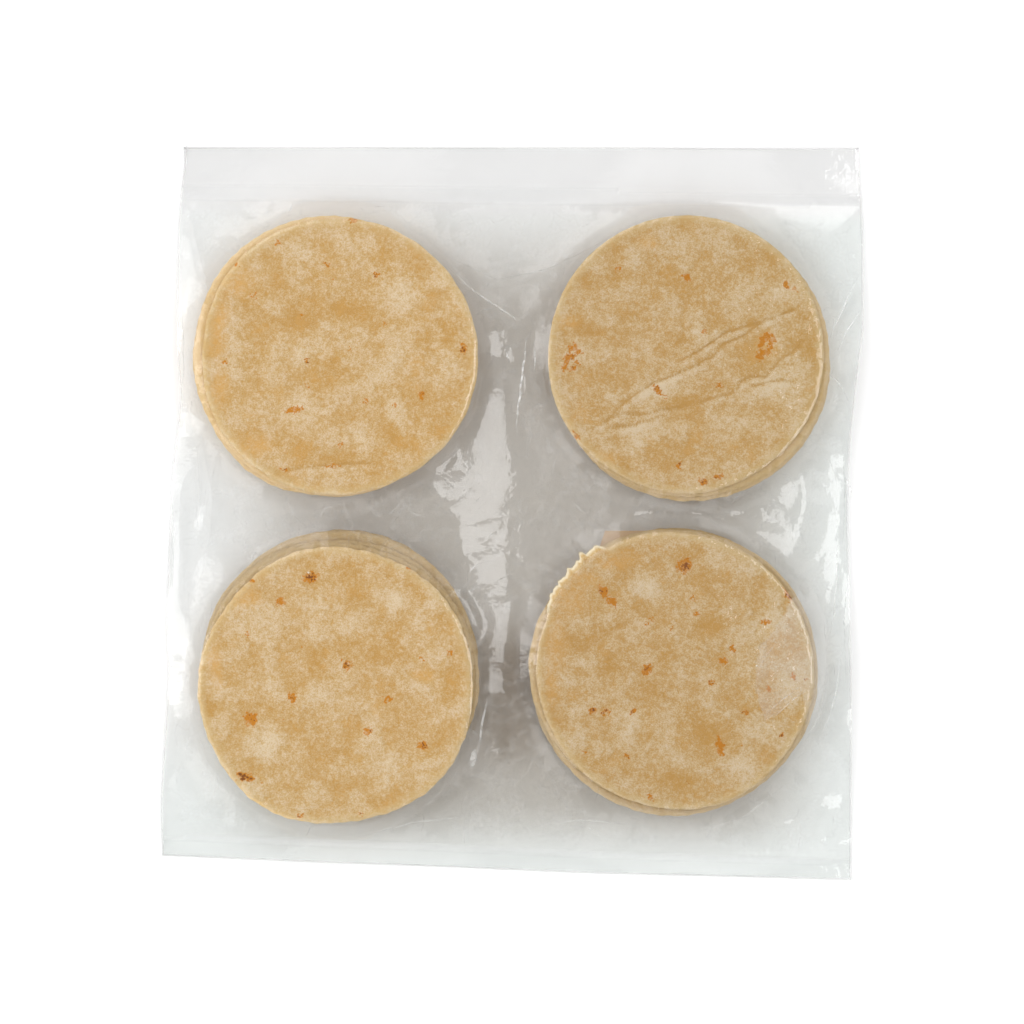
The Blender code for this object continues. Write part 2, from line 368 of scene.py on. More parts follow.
def outline_radius(angle, seed):
    """A disc of dough is never quite round: a few low waves and a fine uneven rim."""
    rng = np.random.default_rng(seed)
    reach = np.full(angle.shape, RADIUS)
    waves = [(n, ROUND_WAVES / (n - 1) ** 0.5) for n in range(2, 7)]
    for n, height in (*waves, (23, RAGGED_WAVES), (37, RAGGED_WAVES), (61, RAGGED_WAVES)):
        reach = reach + height * rng.normal() * np.cos(n * angle + rng.random() * math.tau)
    return reach


def frill_reach(angle):
    """How far the frilled rim stands out past the round, as a length."""
    degrees = np.degrees(angle)
    start, end = FRILL_TURN
    inside = smooth_step(start, start + 5, degrees) * smooth_step(end, end - 12, degrees)
    reach = inside * (FRILL_REACH + TOOTH_REACH * clouds(angle * RADIUS, angle * 0, 0.0009, 77))
    for place, height, width in FLAKES:
        reach = np.maximum(reach, height * np.exp(-np.abs((degrees - place) / width) ** 3))
    return reach * MM


def dough_relief(x, y, from_rim, seed, kind):
    """Relief of the upper face, and its puffs, fine lumps, grooves and ridges from 0 to 1."""
    puff = smooth_step(0.34, 0.68, lumps(x, y, 0.0075, seed + 50, 4))
    fine = lumps(x, y, 0.0022, seed + 60, 3)
    relief = smooth_step(0, 0.004, from_rim) * (PUFF_HEIGHT * (puff - 0.9) + FINE_HEIGHT * (fine - 0.8))
    grooves = np.zeros(x.shape)
    ridges = np.zeros(x.shape)
    for k, line in enumerate(WRINKLES.get(kind, ())):
        rise, groove, ridge = wrinkle_relief(x, y, in_metres(line), seed + 70 + k, CREASE_DEPTH[kind])
        relief = relief + rise * smooth_step(0, 0.003, from_rim)
        grooves = np.maximum(grooves, groove)
        ridges = np.maximum(ridges, ridge)
    return relief if kind else relief * LOWER_RELIEF, puff, fine, grooves, ridges


def closed_disc(name, top, rings, low, material):
    """A closed mesh: its top point, its rings of points from there round the rim, its lowest point."""
    around = rings.shape[1]
    verts = np.concatenate(([top], rings.reshape(-1, 3), [low]))
    last = len(verts) - 1
    faces = []
    for i in range(around):
        j = (i + 1) % around
        faces.append((0, 1 + i, 1 + j))
        for a in range(1, last - around, around):
            faces.append((a + i, a + around + i, a + around + j, a + j))
        faces.append((last, last - around + j, last - around + i))
    return new_mesh(name, verts, faces, material)


def tortilla(name, place, seed, material, around, steps, kind=None):
    """One tortilla: a thin round of dough, puffed in patches, thinner towards its uneven rim.

    kind is the stack's name for a top tortilla, which has creases, patches and its full relief.
    """
    middle_x, middle_y, upper = place
    angle = np.arange(around) * math.tau / around
    frill = frill_reach(angle) if kind == FRILLED else np.zeros(around)
    reach = outline_radius(angle, seed) + frill
    shares = np.concatenate((steps, 1 - RIM_WIDTH / RADIUS * RIM_STEPS))
    out = shares[:, None] * reach
    x = out * np.cos(angle)
    y = out * np.sin(angle)
    from_rim = reach - out
    relief, puff, fine, groove, ridge = dough_relief(x, y, from_rim, seed, kind)

    half = (THICKNESS - LAYER_GAP) / 2
    centre = upper - THICKNESS / 2
    bulge = 1 - np.clip(1 - from_rim / RIM_WIDTH, 0, 1) ** 2.2
    thick = half * (0.25 + 0.75 * bulge)
    top = np.dstack((x + middle_x, y + middle_y, centre + thick + relief - RIM_DROP * (1 - bulge)))
    low = np.dstack((x + middle_x, y + middle_y, centre - thick))
    rim_x = reach * np.cos(angle) + middle_x
    rim_y = reach * np.sin(angle) + middle_y
    rim_row = np.dstack((rim_x, rim_y, centre + FRILL_LIFT * frill))
    inwards = [k for k in reversed(range(len(shares))) if shares[k] > 0.9 or k % 6 == 0]
    rings = np.concatenate((top, rim_row, low[inwards]))
    thing = closed_disc(name, (middle_x, middle_y, centre + half), rings,
                        (middle_x, middle_y, centre - half), material)

    rim = 1 - smooth_step(0.0005, 0.0045, from_rim + 0.002 * (fine - 0.5))
    flaky = smooth_step(0.0004, 0.002, frill) * (1 - smooth_step(0.0004, 0.0018, from_rim))
    browned = patch_share(x, y, BROWNED.get(kind, ()), seed + 90)
    floury = patch_share(x, y, FLOURY.get(kind, ()), seed + 95)
    orange = patch_share(x, y, ORANGE.get(kind, ()), seed + 99)
    for value_name, inside, at_middle, at_rim in (
            ("puff", puff, 0.5, 0.5), ("toned", floury - browned, 0, 0), ("orange", orange, 0, 0),
            ("rim", rim, 0, 1), ("flaky", flaky, 0, 0), ("groove", groove, 0, 0), ("ridge", ridge, 0, 0)):
        middle = np.full(1, at_middle)
        parts = (middle, inside.ravel(), np.full(around, at_rim), inside[inwards].ravel(), middle)
        add_values(thing, value_name, np.concatenate(parts))
    return thing


# Nodes

# Places of a mix node's sockets
MIX_NUMBERS = (2, 3, 0)
MIX_COLOURS = (6, 7, 2)


def new_material(name):
    """A material, its nodes and its shader."""
    material = bpy.data.materials.new(name)
    material.use_nodes = True
    return material, material.node_tree, material.node_tree.nodes["Principled BSDF"]


def node(tree, kind, inputs=(), **settings):
    """A node with its settings made, and each of its inputs linked to a socket or set to a value."""
    made = tree.nodes.new(kind)
    for key, value in settings.items():
        setattr(made, key, value)
    fill(tree, made, inputs)
    return made


def fill(tree, made, inputs):
    for slot, value in dict(inputs).items():
        if isinstance(value, bpy.types.NodeSocket):
            tree.links.new(value, made.inputs[slot])
        else:
            made.inputs[slot].default_value = value


def math_node(tree, operation, a, b=None):
    inputs = {0: a} if b is None else {0: a, 1: b}
    return node(tree, "ShaderNodeMath", inputs, operation=operation).outputs[0]


def times(tree, a, b):
    return math_node(tree, "MULTIPLY", a, b)


def plus(tree, *terms):
    total = terms[0]
    for term in terms[1:]:
        total = math_node(tree, "ADD", total, term)
    return total


def vector_node(tree, operation, *parts):
    return node(tree, "ShaderNodeVectorMath", enumerate(parts), operation=operation).outputs


def remap(tree, value, low, high, to_low=0.0, to_high=1.0):
    """Goes smoothly from to_low to to_high as the value goes from low to high."""
    inputs = {"Value": value, "From Min": low, "From Max": high, "To Min": to_low, "To Max": to_high}
    return node(tree, "ShaderNodeMapRange", inputs, interpolation_type="SMOOTHSTEP").outputs["Result"]


def linear_map(tree, value, low, high):
    inputs = {"Value": value, "From Min": low, "From Max": high}
    return node(tree, "ShaderNodeMapRange", inputs).outputs["Result"]


def mix_number(tree, share, a, b):
    first, second, result = MIX_NUMBERS
    return node(tree, "ShaderNodeMix", {0: share, first: a, second: b}, data_type="FLOAT").outputs[result]


def mix_colour(tree, share, a, b):
    """Colour a where the share is 0 and colour b where it is 1."""
    a, b = ((*value, 1.0) if isinstance(value, tuple) else value for value in (a, b))
    first, second, result = MIX_COLOURS
    return node(tree, "ShaderNodeMix", {0: share, first: a, second: b}, data_type="RGBA").outputs[result]


def noise(tree, coords, scale, detail, roughness):
    inputs = {"Vector": coords, "Scale": scale, "Detail": detail, "Roughness": roughness}
    return node(tree, "ShaderNodeTexNoise", inputs).outputs


def object_place(tree):
    return node(tree, "ShaderNodeTexCoord").outputs["Object"]


def attribute(tree, name):
    return node(tree, "ShaderNodeAttribute", attribute_name=name).outputs["Fac"]


# Scales a colour by a stack's painted light and shade.
def scaled_by_painted_light(colour, share):
    return tuple(part * share for part in colour)


# Dough

PALE = (0.835, 0.672, 0.458)
MIDDLE = (0.697, 0.473, 0.222)
GOLDEN = (0.620, 0.348, 0.088)
RIM = (0.750, 0.550, 0.270)
# The lower tortillas' darker colour is painted shade on their rims, which lie under the top ones.
LOWER_SHADE = (0.570, 0.400, 0.190)
BLUSH = (0.790, 0.450, 0.135)
TOAST = (0.640, 0.240, 0.006)
CHAR = (0.230, 0.066, 0.003)
CRUST = (0.880, 0.720, 0.480)
FLAKE = (0.790, 0.690, 0.500)
# Painted shade in the creases' grooves
GROOVE_SHADE = (0.380, 0.220, 0.070)

# Noises of the dough: scale, detail and roughness
CLOUD = (85.0, 4.0, 0.66)
FLUFF = (470.0, 3.5, 0.74)
GRAIN = (1700.0, 1.0, 0.70)
MOTTLE = (900.0, 1.0, 0.60)
SPOT_EDGE = (720.0, 1.0, 0.50)
GRAIN_BUMP = 0.0008

# How much each cause makes the dough paler, or darker where it is less than zero
# The ridge weight is painted highlight on the creases' ridges, and the groove weight is painted shade in
# their grooves.
TONES = {"cloud": 0.30, "toned": 0.27, "fluff": 0.36, "grain": 0.54, "puff": 0.26, "ridge": 0.38,
         "groove": -0.50}

# Toasted spots of each top tortilla: place and size in millimetres from its middle, turn in degrees,
# and how dark the core is
SPOTS = {
    "rear_left": (
        (-25.6, 47.2, 1, 0.8, 0, 0.1), (15.3, 33.6, 0.8, 0.9, 0, 0.7), (51.2, 3.1, 1.1, 1.5, 0, 0.6),
        (34.2, -15.9, 0.9, 1.2, 0, 0.6), (-13.2, -12.2, 0.7, 0.7, 0, 0.2), (-18.6, -22.1, 3.4, 1.1, 12, 0),
        (-22.7, -46.8, 1.5, 0.6, -20, 0.8), (-2.5, -45.2, 3, 0.6, 8, 0.2), (-35.1, 25.4, 1.2, 0.8, 40, 0.1),
        (-15.3, 17.1, 0.7, 0.7, 0, 0.1), (6.2, 56.2, 2.2, 0.7, 5, 0.4), (4.5, 3.1, 0.6, 0.8, 0, 0.1),
        (-42.2, 38.1, 0.8, 0.8, 0, 0), (-5, 37.8, 1, 0.6, 20, 0.3), (-13.5, -1.6, 0.6, 0.6, 0, 0.7),
        (-47, -2.3, 0.9, 0.8, 0, 0), (0.8, -36.4, 0.9, 0.9, 0, 0), (11.4, -18.2, 1, 0.5, -35, 0.1),
        (23.2, -20.2, 0.6, 0.6, 0, 0.1), (18.8, 13.2, 0.8, 0.7, 0, 0), (-49.8, 32.9, 0.8, 1.6, -35, 0.7),
    ),
    "rear_right": (
        (-46.6, 2.6, 1.8, 1.3, 20, 0.1), (-44.2, 0.9, 1.2, 1.5, 0, 0), (-47.4, -1.1, 1.9, 1.2, -15, 0.35),
        (-49.6, -2.7, 1, 1.7, 10, 0.1), (-49.9, -5.6, 0.9, 1.4, 0, 0.1), (-46.9, -5.9, 1.3, 0.9, 20, 0.2),
        (-44.8, -3.6, 0.9, 1, 0, 0), (33.2, 6.9, 2.3, 1.3, 20, 0), (31, 4.4, 1.3, 2.2, -20, 0),
        (35.2, 4, 1, 2.3, -10, 0.1), (32.4, 0.6, 2.2, 1.3, 15, 0), (30.2, -0.9, 1.2, 1.5, 0, 0),
        (-12.6, -14, 1.5, 1, 30, 0.5), (-11, -16, 1.6, 1, -30, 0.2), (-8.9, -17.2, 1.2, 0.6, -20, 0),
        (0.5, 31.8, 1.4, 0.9, 0, 0), (-27.6, 35.5, 1, 0.8, 20, 0.1), (41.3, 28.6, 0.9, 1.6, 30, 0.2),
        (45, 26.6, 1.3, 0.5, -35, 0.2), (7.4, 9.5, 0.9, 0.7, 0, 0.1), (13.2, -12.8, 1, 0.8, 0, 0.1),
        (-2.9, -45.8, 1, 0.9, 0, 0.4), (7.4, -52.8, 2.2, 1.1, -20, 0.6), (13.6, -50.6, 1.6, 0.8, 30, 0.4),
        (-45.4, -33.4, 1.8, 0.9, -50, 0.5), (42.4, 41, 2.6, 0.7, -48, 0.9),
    ),
    "front_left": (
        (-10.3, 45.2, 2.6, 1.9, 10, 1), (-34.7, 43.6, 1, 0.9, 0, 0.3), (-22.7, 34.9, 1.7, 1.2, 40, 0.1),
        (4.1, 8.9, 1.9, 1.9, 0, 0.6), (-18.2, -4.7, 1.5, 2.1, 15, 0.5), (-35.1, -13.4, 2.4, 2.6, 30, 0.35),
        (-37.5, -37.3, 3.6, 1.6, -12, 1), (21, -5.5, 1.6, 0.9, 25, 0.1), (13.2, -18.3, 1.5, 1.4, 0, 0.2),
        (35.9, -24.5, 1.8, 1.7, 0, 0.6), (47, 13.8, 1.4, 0.6, 30, 0.2), (35.5, 11.8, 1, 0.8, 0, 0),
        (30.1, 48.5, 1.2, 0.7, -30, 0.3), (-37.1, 21.3, 0.7, 0.7, 0, 0.2),
        (-14.9, -53.4, 1.6, 0.7, -10, 0.4), (10.3, -52.6, 1.2, 0.7, 10, 0.5),
    ),
    "front_right": (
        (4, 43.3, 2.9, 2.7, 20, 0.6), (-29.9, 33, 1.5, 2.6, 40, 0.3), (-26.2, 28.5, 2.3, 1.4, -40, 0.1),
        (47.3, 31.8, 2, 3, 30, 0.9), (-11.7, 0.4, 1.6, 2.4, -35, 0.4), (14.7, -5, 1.3, 1, 0, 0.6),
        (-34, -16.5, 1.8, 1, 25, 0.7), (-29, -16.9, 1, 1.7, -20, 0.7), (-17.1, -16.5, 1.3, 1.2, 30, 0.5),
        (29.1, -17.3, 1, 1, 0, 0.6), (44.4, -26.4, 0.9, 1, 0, 0.9), (18.4, -31.4, 1.3, 3.6, 10, 0.1),
        (-37.3, -33.8, 0.9, 0.8, 0, 0.3), (-20, -35.1, 0.8, 0.9, 0, 0.3), (-10.1, -52.4, 1.3, 1.1, 0, 0),
        (7.3, 30.1, 0.8, 0.8, 0, 0.2), (48.6, -2.1, 0.8, 1.2, 0, 0.3), (39, -7.4, 0.9, 1.2, 20, 0.3),
        (-11.4, 19, 1, 0.7, 0, 0.2), (-10.2, 21.3, 0.6, 0.6, 0, 0.3), (-1.6, 17.5, 0.8, 0.7, 20, 0.5),
        (9, 23.6, 0.8, 0.6, 0, 0), (20.2, 4, 1.7, 1.6, 0, 0.1), (23.4, 9.4, 0.9, 0.9, 0, 0.3),
        (37.8, 20.2, 1.5, 1, 10, 0), (54, -3.6, 0.6, 0.6, 0, 0.9), (5.6, -46.2, 0.5, 0.5, 0, 1),
    ),
}
SPOT_WARP = 0.0024
SPOT_DEPTH = 0.02
CORE_REACH = 1.05

# Specks: the cell that holds one at most, the share of cells that do, and the width
SPECK_CELL = 0.009
SPECK_SHARE = 0.38
SPECK_SIZE = 0.0006


def spot_distance(tree, coords, place, size, turn):
    """Distance from a spot's middle, as 1 on its oval outline."""
    away = vector_node(tree, "SUBTRACT", coords, place)[0]
    if turn:
        inputs = {"Vector": away, "Angle": -math.radians(turn)}
        away = node(tree, "ShaderNodeVectorRotate", inputs, rotation_type="Z_AXIS").outputs[0]
    scaled = vector_node(tree, "MULTIPLY", away, tuple(1 / length for length in size))[0]
    return vector_node(tree, "LENGTH", scaled)["Value"]


def toasted(tree, coords, spots, middle):
    """The orange and the dark share of the surface over a list of spots."""
    rough = noise(tree, coords, *SPOT_EDGE)["Color"]
    warped = vector_node(tree, "MULTIPLY_ADD", rough, (2 * SPOT_WARP, 2 * SPOT_WARP, 0.0), coords)[0]
    nearest = None
    darkest = None
    for x, y, width, length, turn, dark in spots:
        place = (middle[0] + x * MM + SPOT_WARP, middle[1] + y * MM + SPOT_WARP, STACK_HEIGHT)
        gap = spot_distance(tree, warped, place, (width * MM, length * MM, SPOT_DEPTH), turn)
        nearest = gap if nearest is None else math_node(tree, "MINIMUM", nearest, gap)
        if dark:
            core = times(tree, math_node(tree, "SUBTRACT", CORE_REACH, gap), dark)
            darkest = core if darkest is None else math_node(tree, "MAXIMUM", darkest, core)
    return remap(tree, nearest, 1.30, 0.95), linear_map(tree, darkest, 0.0, 0.8)


def specks(tree, coords):
    """Tiny toasted specks, one at most in each cell, in some cells only."""
    inputs = {"Vector": coords, "Scale": 1 / SPECK_CELL}
    cells = node(tree, "ShaderNodeTexVoronoi", inputs, feature="F1").outputs
    parts = node(tree, "ShaderNodeSeparateColor", {0: cells["Color"]}).outputs
    chosen = math_node(tree, "GREATER_THAN", parts[0], 1 - SPECK_SHARE)
    reach = times(tree, parts[1], SPECK_SIZE / SPECK_CELL)
    gap = math_node(tree, "SUBTRACT", reach, cells["Distance"])
    return times(tree, remap(tree, gap, 0.0, 0.25 * SPECK_SIZE / SPECK_CELL), chosen)


def dough_colour(tree, cloud, fluff, grain, painted_light_scale):
    """Golden to floury in clouds, orange in patches, with a pale crusty rim, painted shade in the
    creases' grooves and painted highlight on their ridges.
    """
    groove = attribute(tree, "groove")
    rim = attribute(tree, "rim")
    causes = {"cloud": linear_map(tree, cloud, 0.36, 0.64), "fluff": linear_map(tree, fluff, 0.38, 0.62),
              "grain": linear_map(tree, grain, 0.30, 0.70), "toned": attribute(tree, "toned"),
              "puff": attribute(tree, "puff"), "ridge": attribute(tree, "ridge"), "groove": groove}
    tone = plus(tree, *(times(tree, causes[cause], weight) for cause, weight in TONES.items()))
    colour = mix_colour(tree, linear_map(tree, tone, 0.26, 0.82), scaled_by_painted_light(GOLDEN, painted_light_scale), scaled_by_painted_light(MIDDLE, painted_light_scale))
    colour = mix_colour(tree, linear_map(tree, tone, 0.70, 1.28), colour, scaled_by_painted_light(PALE, painted_light_scale))
    # Painted shade in the creases' grooves.
    colour = mix_colour(tree, times(tree, groove, 0.38), colour, GROOVE_SHADE)
    blush = math_node(tree, "MAXIMUM", times(tree, remap(tree, cloud, 0.44, 0.30), 0.35),
                      times(tree, attribute(tree, "orange"), 0.75))
    blush = times(tree, blush, linear_map(tree, fluff, 0.76, 0.36))
    colour = mix_colour(tree, blush, colour, scaled_by_painted_light(BLUSH, painted_light_scale))
    colour = mix_colour(tree, times(tree, rim, 0.6), colour, scaled_by_painted_light(RIM, painted_light_scale))
    crust = times(tree, remap(tree, rim, 0.86, 1.0), linear_map(tree, fluff, 0.38, 1.2))
    colour = mix_colour(tree, crust, colour, scaled_by_painted_light(CRUST, painted_light_scale))
    return mix_colour(tree, attribute(tree, "flaky"), colour, FLAKE)


def tortilla_material(name, painted_light_scale, spots=(), middle=(0, 0), offset=0.0):
    """Dough with specks, and with toasted spots where there are any."""
    material, tree, shader = new_material(name)
    coords = object_place(tree)
    place = vector_node(tree, "ADD", coords, (offset, offset * 0.7, 0))[0]
    fluff = noise(tree, place, *FLUFF)["Fac"]
    colour = dough_colour(tree, noise(tree, place, *CLOUD)["Fac"], fluff,
                          noise(tree, place, *GRAIN)["Fac"], painted_light_scale)
    if not spots:
        # Lower tortillas: painted shade.
        colour = mix_colour(tree, 0.55, colour, scaled_by_painted_light(LOWER_SHADE, painted_light_scale))
    edge = times(tree, specks(tree, place), 0.75)
    if spots:
        ring, core = toasted(tree, coords, spots, middle)
        edge = math_node(tree, "MAXIMUM", edge, times(tree, ring, remap(tree, fluff, 0.66, 0.46, 0.45, 1.0)))
    colour = mix_colour(tree, edge, colour, scaled_by_painted_light(TOAST, painted_light_scale))
    if spots:
        burnt = plus(tree, times(tree, core, 0.6), times(tree, noise(tree, place, *MOTTLE)["Fac"], 1.2))
        colour = mix_colour(tree, times(tree, remap(tree, burnt, 0.79, 1.05), ring), colour, CHAR)
    bump = node(tree, "ShaderNodeBump", {"Strength": 1.0, "Distance": GRAIN_BUMP, "Height": fluff})
    fill(tree, shader, {"Base Color": colour, "Roughness": 0.72, "Specular IOR Level": 0.25,
                        "Normal": bump.outputs["Normal"]})
    return material


# Film materials

# Tints of the film: clear, cooler at the sides and front, and darker with painted shade on the upper
# and the lower sheet
BRIGHT = (0.985, 0.985, 0.984)
COOL_TINT = (0.974, 0.984, 0.979)
SHADE_TINT_UPPER = (0.970, 0.970, 0.965)
SHADE_TINT_LOWER = (0.56, 0.507, 0.445)
MILK = (0.90, 0.91, 0.91, 1.0)
HAZE = 0.02
WELD_HAZE = 0.12
CREASE_HAZE = 0.06
MOST_SHINE = 0.23

# Noises of the film: scale, detail and roughness
HAZE_CLOUD = (45.0, 2.0, 0.6)
RAGGED = (160.0, 2.0, 0.6)
WANDER = (75.0, 3.0, 0.66)
FILM_RIPPLE = (200.0, 2.0, 0.64)
BROKEN = (420.0, 4.0, 0.6)


def highlight_veil_share(tree, coords, cloud):
    """Milkiness, partly painted highlight, of the veils, with ragged borders, and of the fine creases
    between the stacks.
    """
    ragged = times(tree, noise(tree, coords, *RAGGED)["Fac"], 0.004)
    inside = remap(tree, plus(tree, attribute(tree, "highlight_veil_reach"), ragged), 0.0014, 0.0027)
    uneven = remap(tree, cloud, 0.35, 0.65, 0.6, 1.1)
    highlight_veil = times(tree, times(tree, inside, uneven), attribute(tree, "highlight_veil"))
    off = math_node(tree, "ABSOLUTE", math_node(tree, "SUBTRACT", noise(tree, coords, *WANDER)["Fac"], 0.5))
    crease = times(tree, remap(tree, off, 0.035, 0.0), attribute(tree, "loose"))
    return plus(tree, highlight_veil, times(tree, crease, CREASE_HAZE))


def film_material(name, painted_shade, creased):
    """Clear film: mostly see-through, a little milky, with a glossy reflection that grows at a slant.

    The attribute cool goes from the bright tint to the cool one, shade goes on to the painted shade tint,
    and weld adds milkiness. The creased sheet has ripples and veils too, the veils partly painted highlight.
    """
    material, tree, shader = new_material(name)
    tree.nodes.remove(shader)
    coords = object_place(tree)
    tint = mix_colour(tree, attribute(tree, "cool"), BRIGHT, COOL_TINT)
    tint = mix_colour(tree, attribute(tree, "shade"), tint, painted_shade)
    cloud = noise(tree, coords, *HAZE_CLOUD)["Fac"]
    haze = times(tree, remap(tree, cloud, 0.35, 0.7, 0.5 * HAZE, 1.5 * HAZE),
                 remap(tree, attribute(tree, "loose"), 0.0, 1.0, 0.3, 1.0))
    haze = plus(tree, haze, times(tree, attribute(tree, "weld"), WELD_HAZE))
    gloss = {"Color": (1, 1, 1, 1), "Roughness": 0.07}
    if creased:
        haze = plus(tree, haze, highlight_veil_share(tree, coords, cloud))
        ripple = noise(tree, coords, *FILM_RIPPLE)["Fac"]
        bump = node(tree, "ShaderNodeBump", {"Strength": 0.30, "Distance": 0.0006, "Height": ripple})
        gloss["Normal"] = bump.outputs["Normal"]
    clear = node(tree, "ShaderNodeBsdfTransparent", {"Color": tint}).outputs[0]
    milk = node(tree, "ShaderNodeBsdfDiffuse", {"Color": MILK}).outputs[0]
    shiny = node(tree, "ShaderNodeBsdfGlossy", gloss).outputs[0]
    body = node(tree, "ShaderNodeMixShader", {0: haze, 1: clear, 2: milk}).outputs[0]
    shine = node(tree, "ShaderNodeFresnel", {"IOR": 1.5}).outputs[0]
    shine = math_node(tree, "MINIMUM", times(tree, shine, 1.2), MOST_SHINE)
    mixed = node(tree, "ShaderNodeMixShader", {0: shine, 1: body, 2: shiny}).outputs[0]
    tree.links.new(mixed, tree.nodes["Material Output"].inputs["Surface"])
    return material


def crease_glint_material():
    """A white painted glint where the strength is more than zero, grey painted shade where it is less,
    and as clear as it is small.
    """
    material, tree, shader = new_material("film_crease_glints")
    strength = attribute(tree, "strength")
    light = math_node(tree, "GREATER_THAN", strength, 0.0)
    broken = remap(tree, noise(tree, object_place(tree), *BROKEN)["Fac"], 0.35, 0.62, 0.25, 1.0)
    fill(tree, shader, {"Base Color": mix_colour(tree, light, (0.30, 0.30, 0.29), (1.0, 1.0, 1.0)),
                        "Alpha": times(tree, math_node(tree, "ABSOLUTE", strength), broken),
                        "Roughness": 0.5})
    return material


def plain_material(name, colour, roughness, alpha=1.0):
    material, tree, shader = new_material(name)
    fill(tree, shader, {"Base Color": (*colour, 1), "Roughness": roughness, "Alpha": alpha})
    return material


# Film

def film_plan(across, along):
    """Plan of the film's grid between the folds and the seals; both run from -1 to 1."""
    u, v = np.meshgrid(np.linspace(-1, 1, across), np.linspace(-1, 1, along))
    rough_x = u * HALF_WIDTH
    y = front_seal(rough_x) + (rear_seal(rough_x) - front_seal(rough_x)) * (v + 1) / 2
    x = left_fold(y) + (right_fold(y) - left_fold(y)) * (u + 1) / 2
    return x, y


def drape(gap):
    """Share of its height that the film keeps at this distance outside a rim."""
    return TURN_SHARE * np.exp(-gap / TURN_LENGTH) + (1 - TURN_SHARE) * np.exp(-gap / FALL_LENGTH)


def stack_cover(x, y):
    """The film's first height over the stacks, as a share of theirs, and the gap to the nearest rim."""
    bare = np.ones(x.shape)
    nearest = np.ones(x.shape)
    for stack in STACKS.values():
        cover = np.zeros(x.shape)
        for middle_x, middle_y, upper in layer_places(stack):
            gap = np.maximum(0, np.hypot(x - middle_x, y - middle_y) - RADIUS)
            cover = np.maximum(cover, upper / STACK_HEIGHT * drape(gap))
            nearest = np.minimum(nearest, gap)
        bare = bare * (1 - cover)
    return 1 - bare, nearest


def edge_distance(x, y):
    sides = np.minimum(x - left_fold(y), right_fold(y) - x)
    ends = np.minimum(rear_seal(x) - y, y - front_seal(x))
    return np.maximum(0, np.minimum(sides, ends))


def underside(x, y):
    """Lower sheet: on the table under the stacks and valleys, rising to the lifted folds."""
    rim_gap = stack_cover(x, y)[1]
    edge = edge_distance(x, y)
    near = rim_gap / np.maximum(rim_gap + edge, 1e-9)
    lift = FOLD_LIFT * np.exp(-rim_gap / FOLD_LIFT_REACH) * near ** 1.5 * (1 - edge / FOLD_LIFT_WIDTH)
    return np.where((rim_gap == 0) | (edge > FOLD_LIFT_WIDTH), 0, lift) + FLOOR_LIFT


class Ground:
    """What the film lies on: the tortillas' upper faces, on a fine square map."""

    def __init__(self):
        self.across = int(2 * HALF_WIDTH / MAP_CELL) + MAP_MARGIN
        self.along = int(2 * HALF_LENGTH / MAP_CELL) + MAP_MARGIN
        x = (np.arange(self.across) - self.across / 2) * MAP_CELL
        y = (np.arange(self.along) - self.along / 2) * MAP_CELL
        x, y = np.meshgrid(x, y)
        self.height = np.full(x.shape, 2 * FLOOR_LIFT)
        for stack in STACKS.values():
            for middle_x, middle_y, upper in layer_places(stack):
                over = np.hypot(x - middle_x, y - middle_y) < RADIUS + COVER_REACH
                self.height = np.where(over, np.maximum(self.height, upper + FILM_LIFT), self.height)

    def at(self, x, y):
        i = np.clip((x / MAP_CELL + self.across / 2).round().astype(int), 0, self.across - 1)
        j = np.clip((y / MAP_CELL + self.along / 2).round().astype(int), 0, self.along - 1)
        return self.height[j, i]


def iron(points, ground, rounds):
    """Evens the film's height, keeping it off the ground and its border as it is."""
    for _ in range(rounds):
        z = points[..., 2]
        inner = (z[1:-1, 1:-1] * 4 + z[:-2, 1:-1] + z[2:, 1:-1] + z[1:-1, :-2] + z[1:-1, 2:]) / 8
        lowest = ground.at(points[1:-1, 1:-1, 0], points[1:-1, 1:-1, 1])
        points[1:-1, 1:-1, 2] = np.maximum(inner, lowest)
    return points


